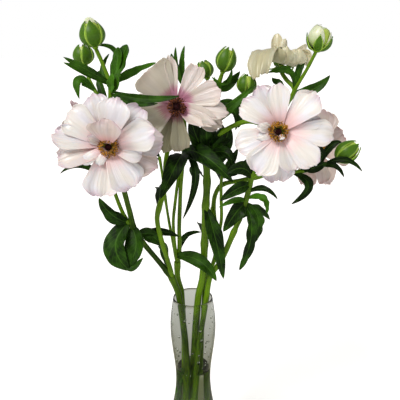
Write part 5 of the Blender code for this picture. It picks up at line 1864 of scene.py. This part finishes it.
@dataclass
class Studio:
    """A plain white floor, soft light from all round with a key at the upper left, and the camera.

    Pitch and the window's width are in degrees. The floor lies a hair below the vase's foot. Glass and
    water show a dim room below the horizon, which is far at the first of its heights and near at the
    second.
    """

    camera_place: Point = (6.6, -415.0, 410.0)
    pitch: float = 17.0
    lens: float = 45.0
    sensor: float = 36.0
    clip_start: float = 10.0
    floor_radius: float = 20000.0
    floor_drop: float = 0.05
    backdrop: float = 1.0
    daylight: float = 0.38
    daylight_colour: Colour = (1.0, 0.985, 0.965, 1.0)
    horizon: float = -0.02
    room_heights: tuple[float, float] = (-0.42, -0.62)
    room_far: str = "#D6D8D1"
    room_near: str = "#7C7B66"
    window_from: Point = (-0.75, -0.85, 1.25)
    window_width: float = 26.0
    window_strength: float = 2.65
    window_colour: Point = (1.0, 0.975, 0.94)

    def floor(self) -> None:
        """The white floor, which reaches far beyond the view."""
        radii = np.array([1.0, 0.1, 0.02, 0.0]) * self.floor_radius
        skin = Skin()
        profile = np.stack([radii, np.full(len(radii), -self.floor_drop)], axis=1)
        skin.sew(turned_grid(profile, 64), closed=True)
        floor = skin.piece("studio_floor", [PAPER])
        floor.visible_transmission = False
        floor.visible_glossy = False

    def window(self) -> None:
        """A broad soft light from the upper left, as from a large window."""
        lamp = bpy.data.lights.new("window", "SUN")
        lamp.energy = self.window_strength
        lamp.angle = math.radians(self.window_width)
        lamp.color = self.window_colour
        item = bpy.data.objects.new("window", lamp)
        item.rotation_euler = (-Vector(self.window_from)).to_track_quat("-Z", "Y").to_euler()
        bpy.context.scene.collection.objects.link(item)

    def sky(self) -> None:
        """Even daylight, a backdrop that stays white, and the dim room that shows only through glass."""
        world = bpy.data.worlds.new("studio_daylight")
        world.use_nodes = True
        bpy.context.scene.world = world
        tree = world.node_tree
        daylight = tree.nodes["Background"]
        set_up(tree, daylight, {"Color": self.daylight_colour, "Strength": self.daylight})
        way = add_node(tree, "ShaderNodeTexCoord", {}).outputs["Generated"]
        height = add_node(tree, "ShaderNodeSeparateXYZ", {}, {0: way}).outputs["Z"]
        far, near = self.room_heights
        depth = add_node(tree, "ShaderNodeMapRange", {"From Min": far, "From Max": near}, {"Value": height})
        shades = add_node(tree, "ShaderNodeMix",
                          {"data_type": "RGBA", 6: linear(self.room_far), 7: linear(self.room_near)},
                          {0: depth.outputs[0]})
        room = add_node(tree, "ShaderNodeBackground", {"Strength": 1.0}, {"Color": shades.outputs[2]})
        below = add_node(tree, "ShaderNodeMath", {"operation": "LESS_THAN", 1: self.horizon}, {0: height})
        around = add_node(tree, "ShaderNodeMixShader", {},
                          {0: below.outputs[0], 1: daylight.outputs[0], 2: room.outputs[0]})
        backdrop = add_node(tree, "ShaderNodeBackground", {"Color": WHITE, "Strength": self.backdrop})
        seen = add_node(tree, "ShaderNodeLightPath", {}).outputs["Is Camera Ray"]
        both = add_node(tree, "ShaderNodeMixShader", {},
                        {0: seen, 1: around.outputs[0], 2: backdrop.outputs[0]})
        set_up(tree, tree.nodes["World Output"], {}, {"Surface": both.outputs[0]})

    def camera(self) -> None:
        """The camera at the photograph's angle."""
        data = bpy.data.cameras.new("camera")
        data.lens = self.lens
        data.sensor_width = self.sensor
        data.clip_start = self.clip_start * MM
        item = bpy.data.objects.new("camera", data)
        item.location = np.array(self.camera_place) * MM
        item.rotation_euler = (math.radians(90 - self.pitch), 0, 0)
        bpy.context.scene.collection.objects.link(item)
        bpy.context.scene.camera = item

    def build(self) -> None:
        """Makes the floor, the light and the camera."""
        bpy.context.scene.view_settings.view_transform = "Standard"
        self.floor()
        self.sky()
        self.window()
        self.camera()


def main() -> None:
    """Builds the studio, the vase and all that stands in it."""
    logging.basicConfig(level=logging.INFO, format="%(message)s")
    Studio().build()
    Vase().build()
    for stem in STEMS:
        stem.build(BLOOMS, BUDS)
    for grown in BLOOMS + BUDS:
        grown.build()


if __name__ == "__main__":
    main()
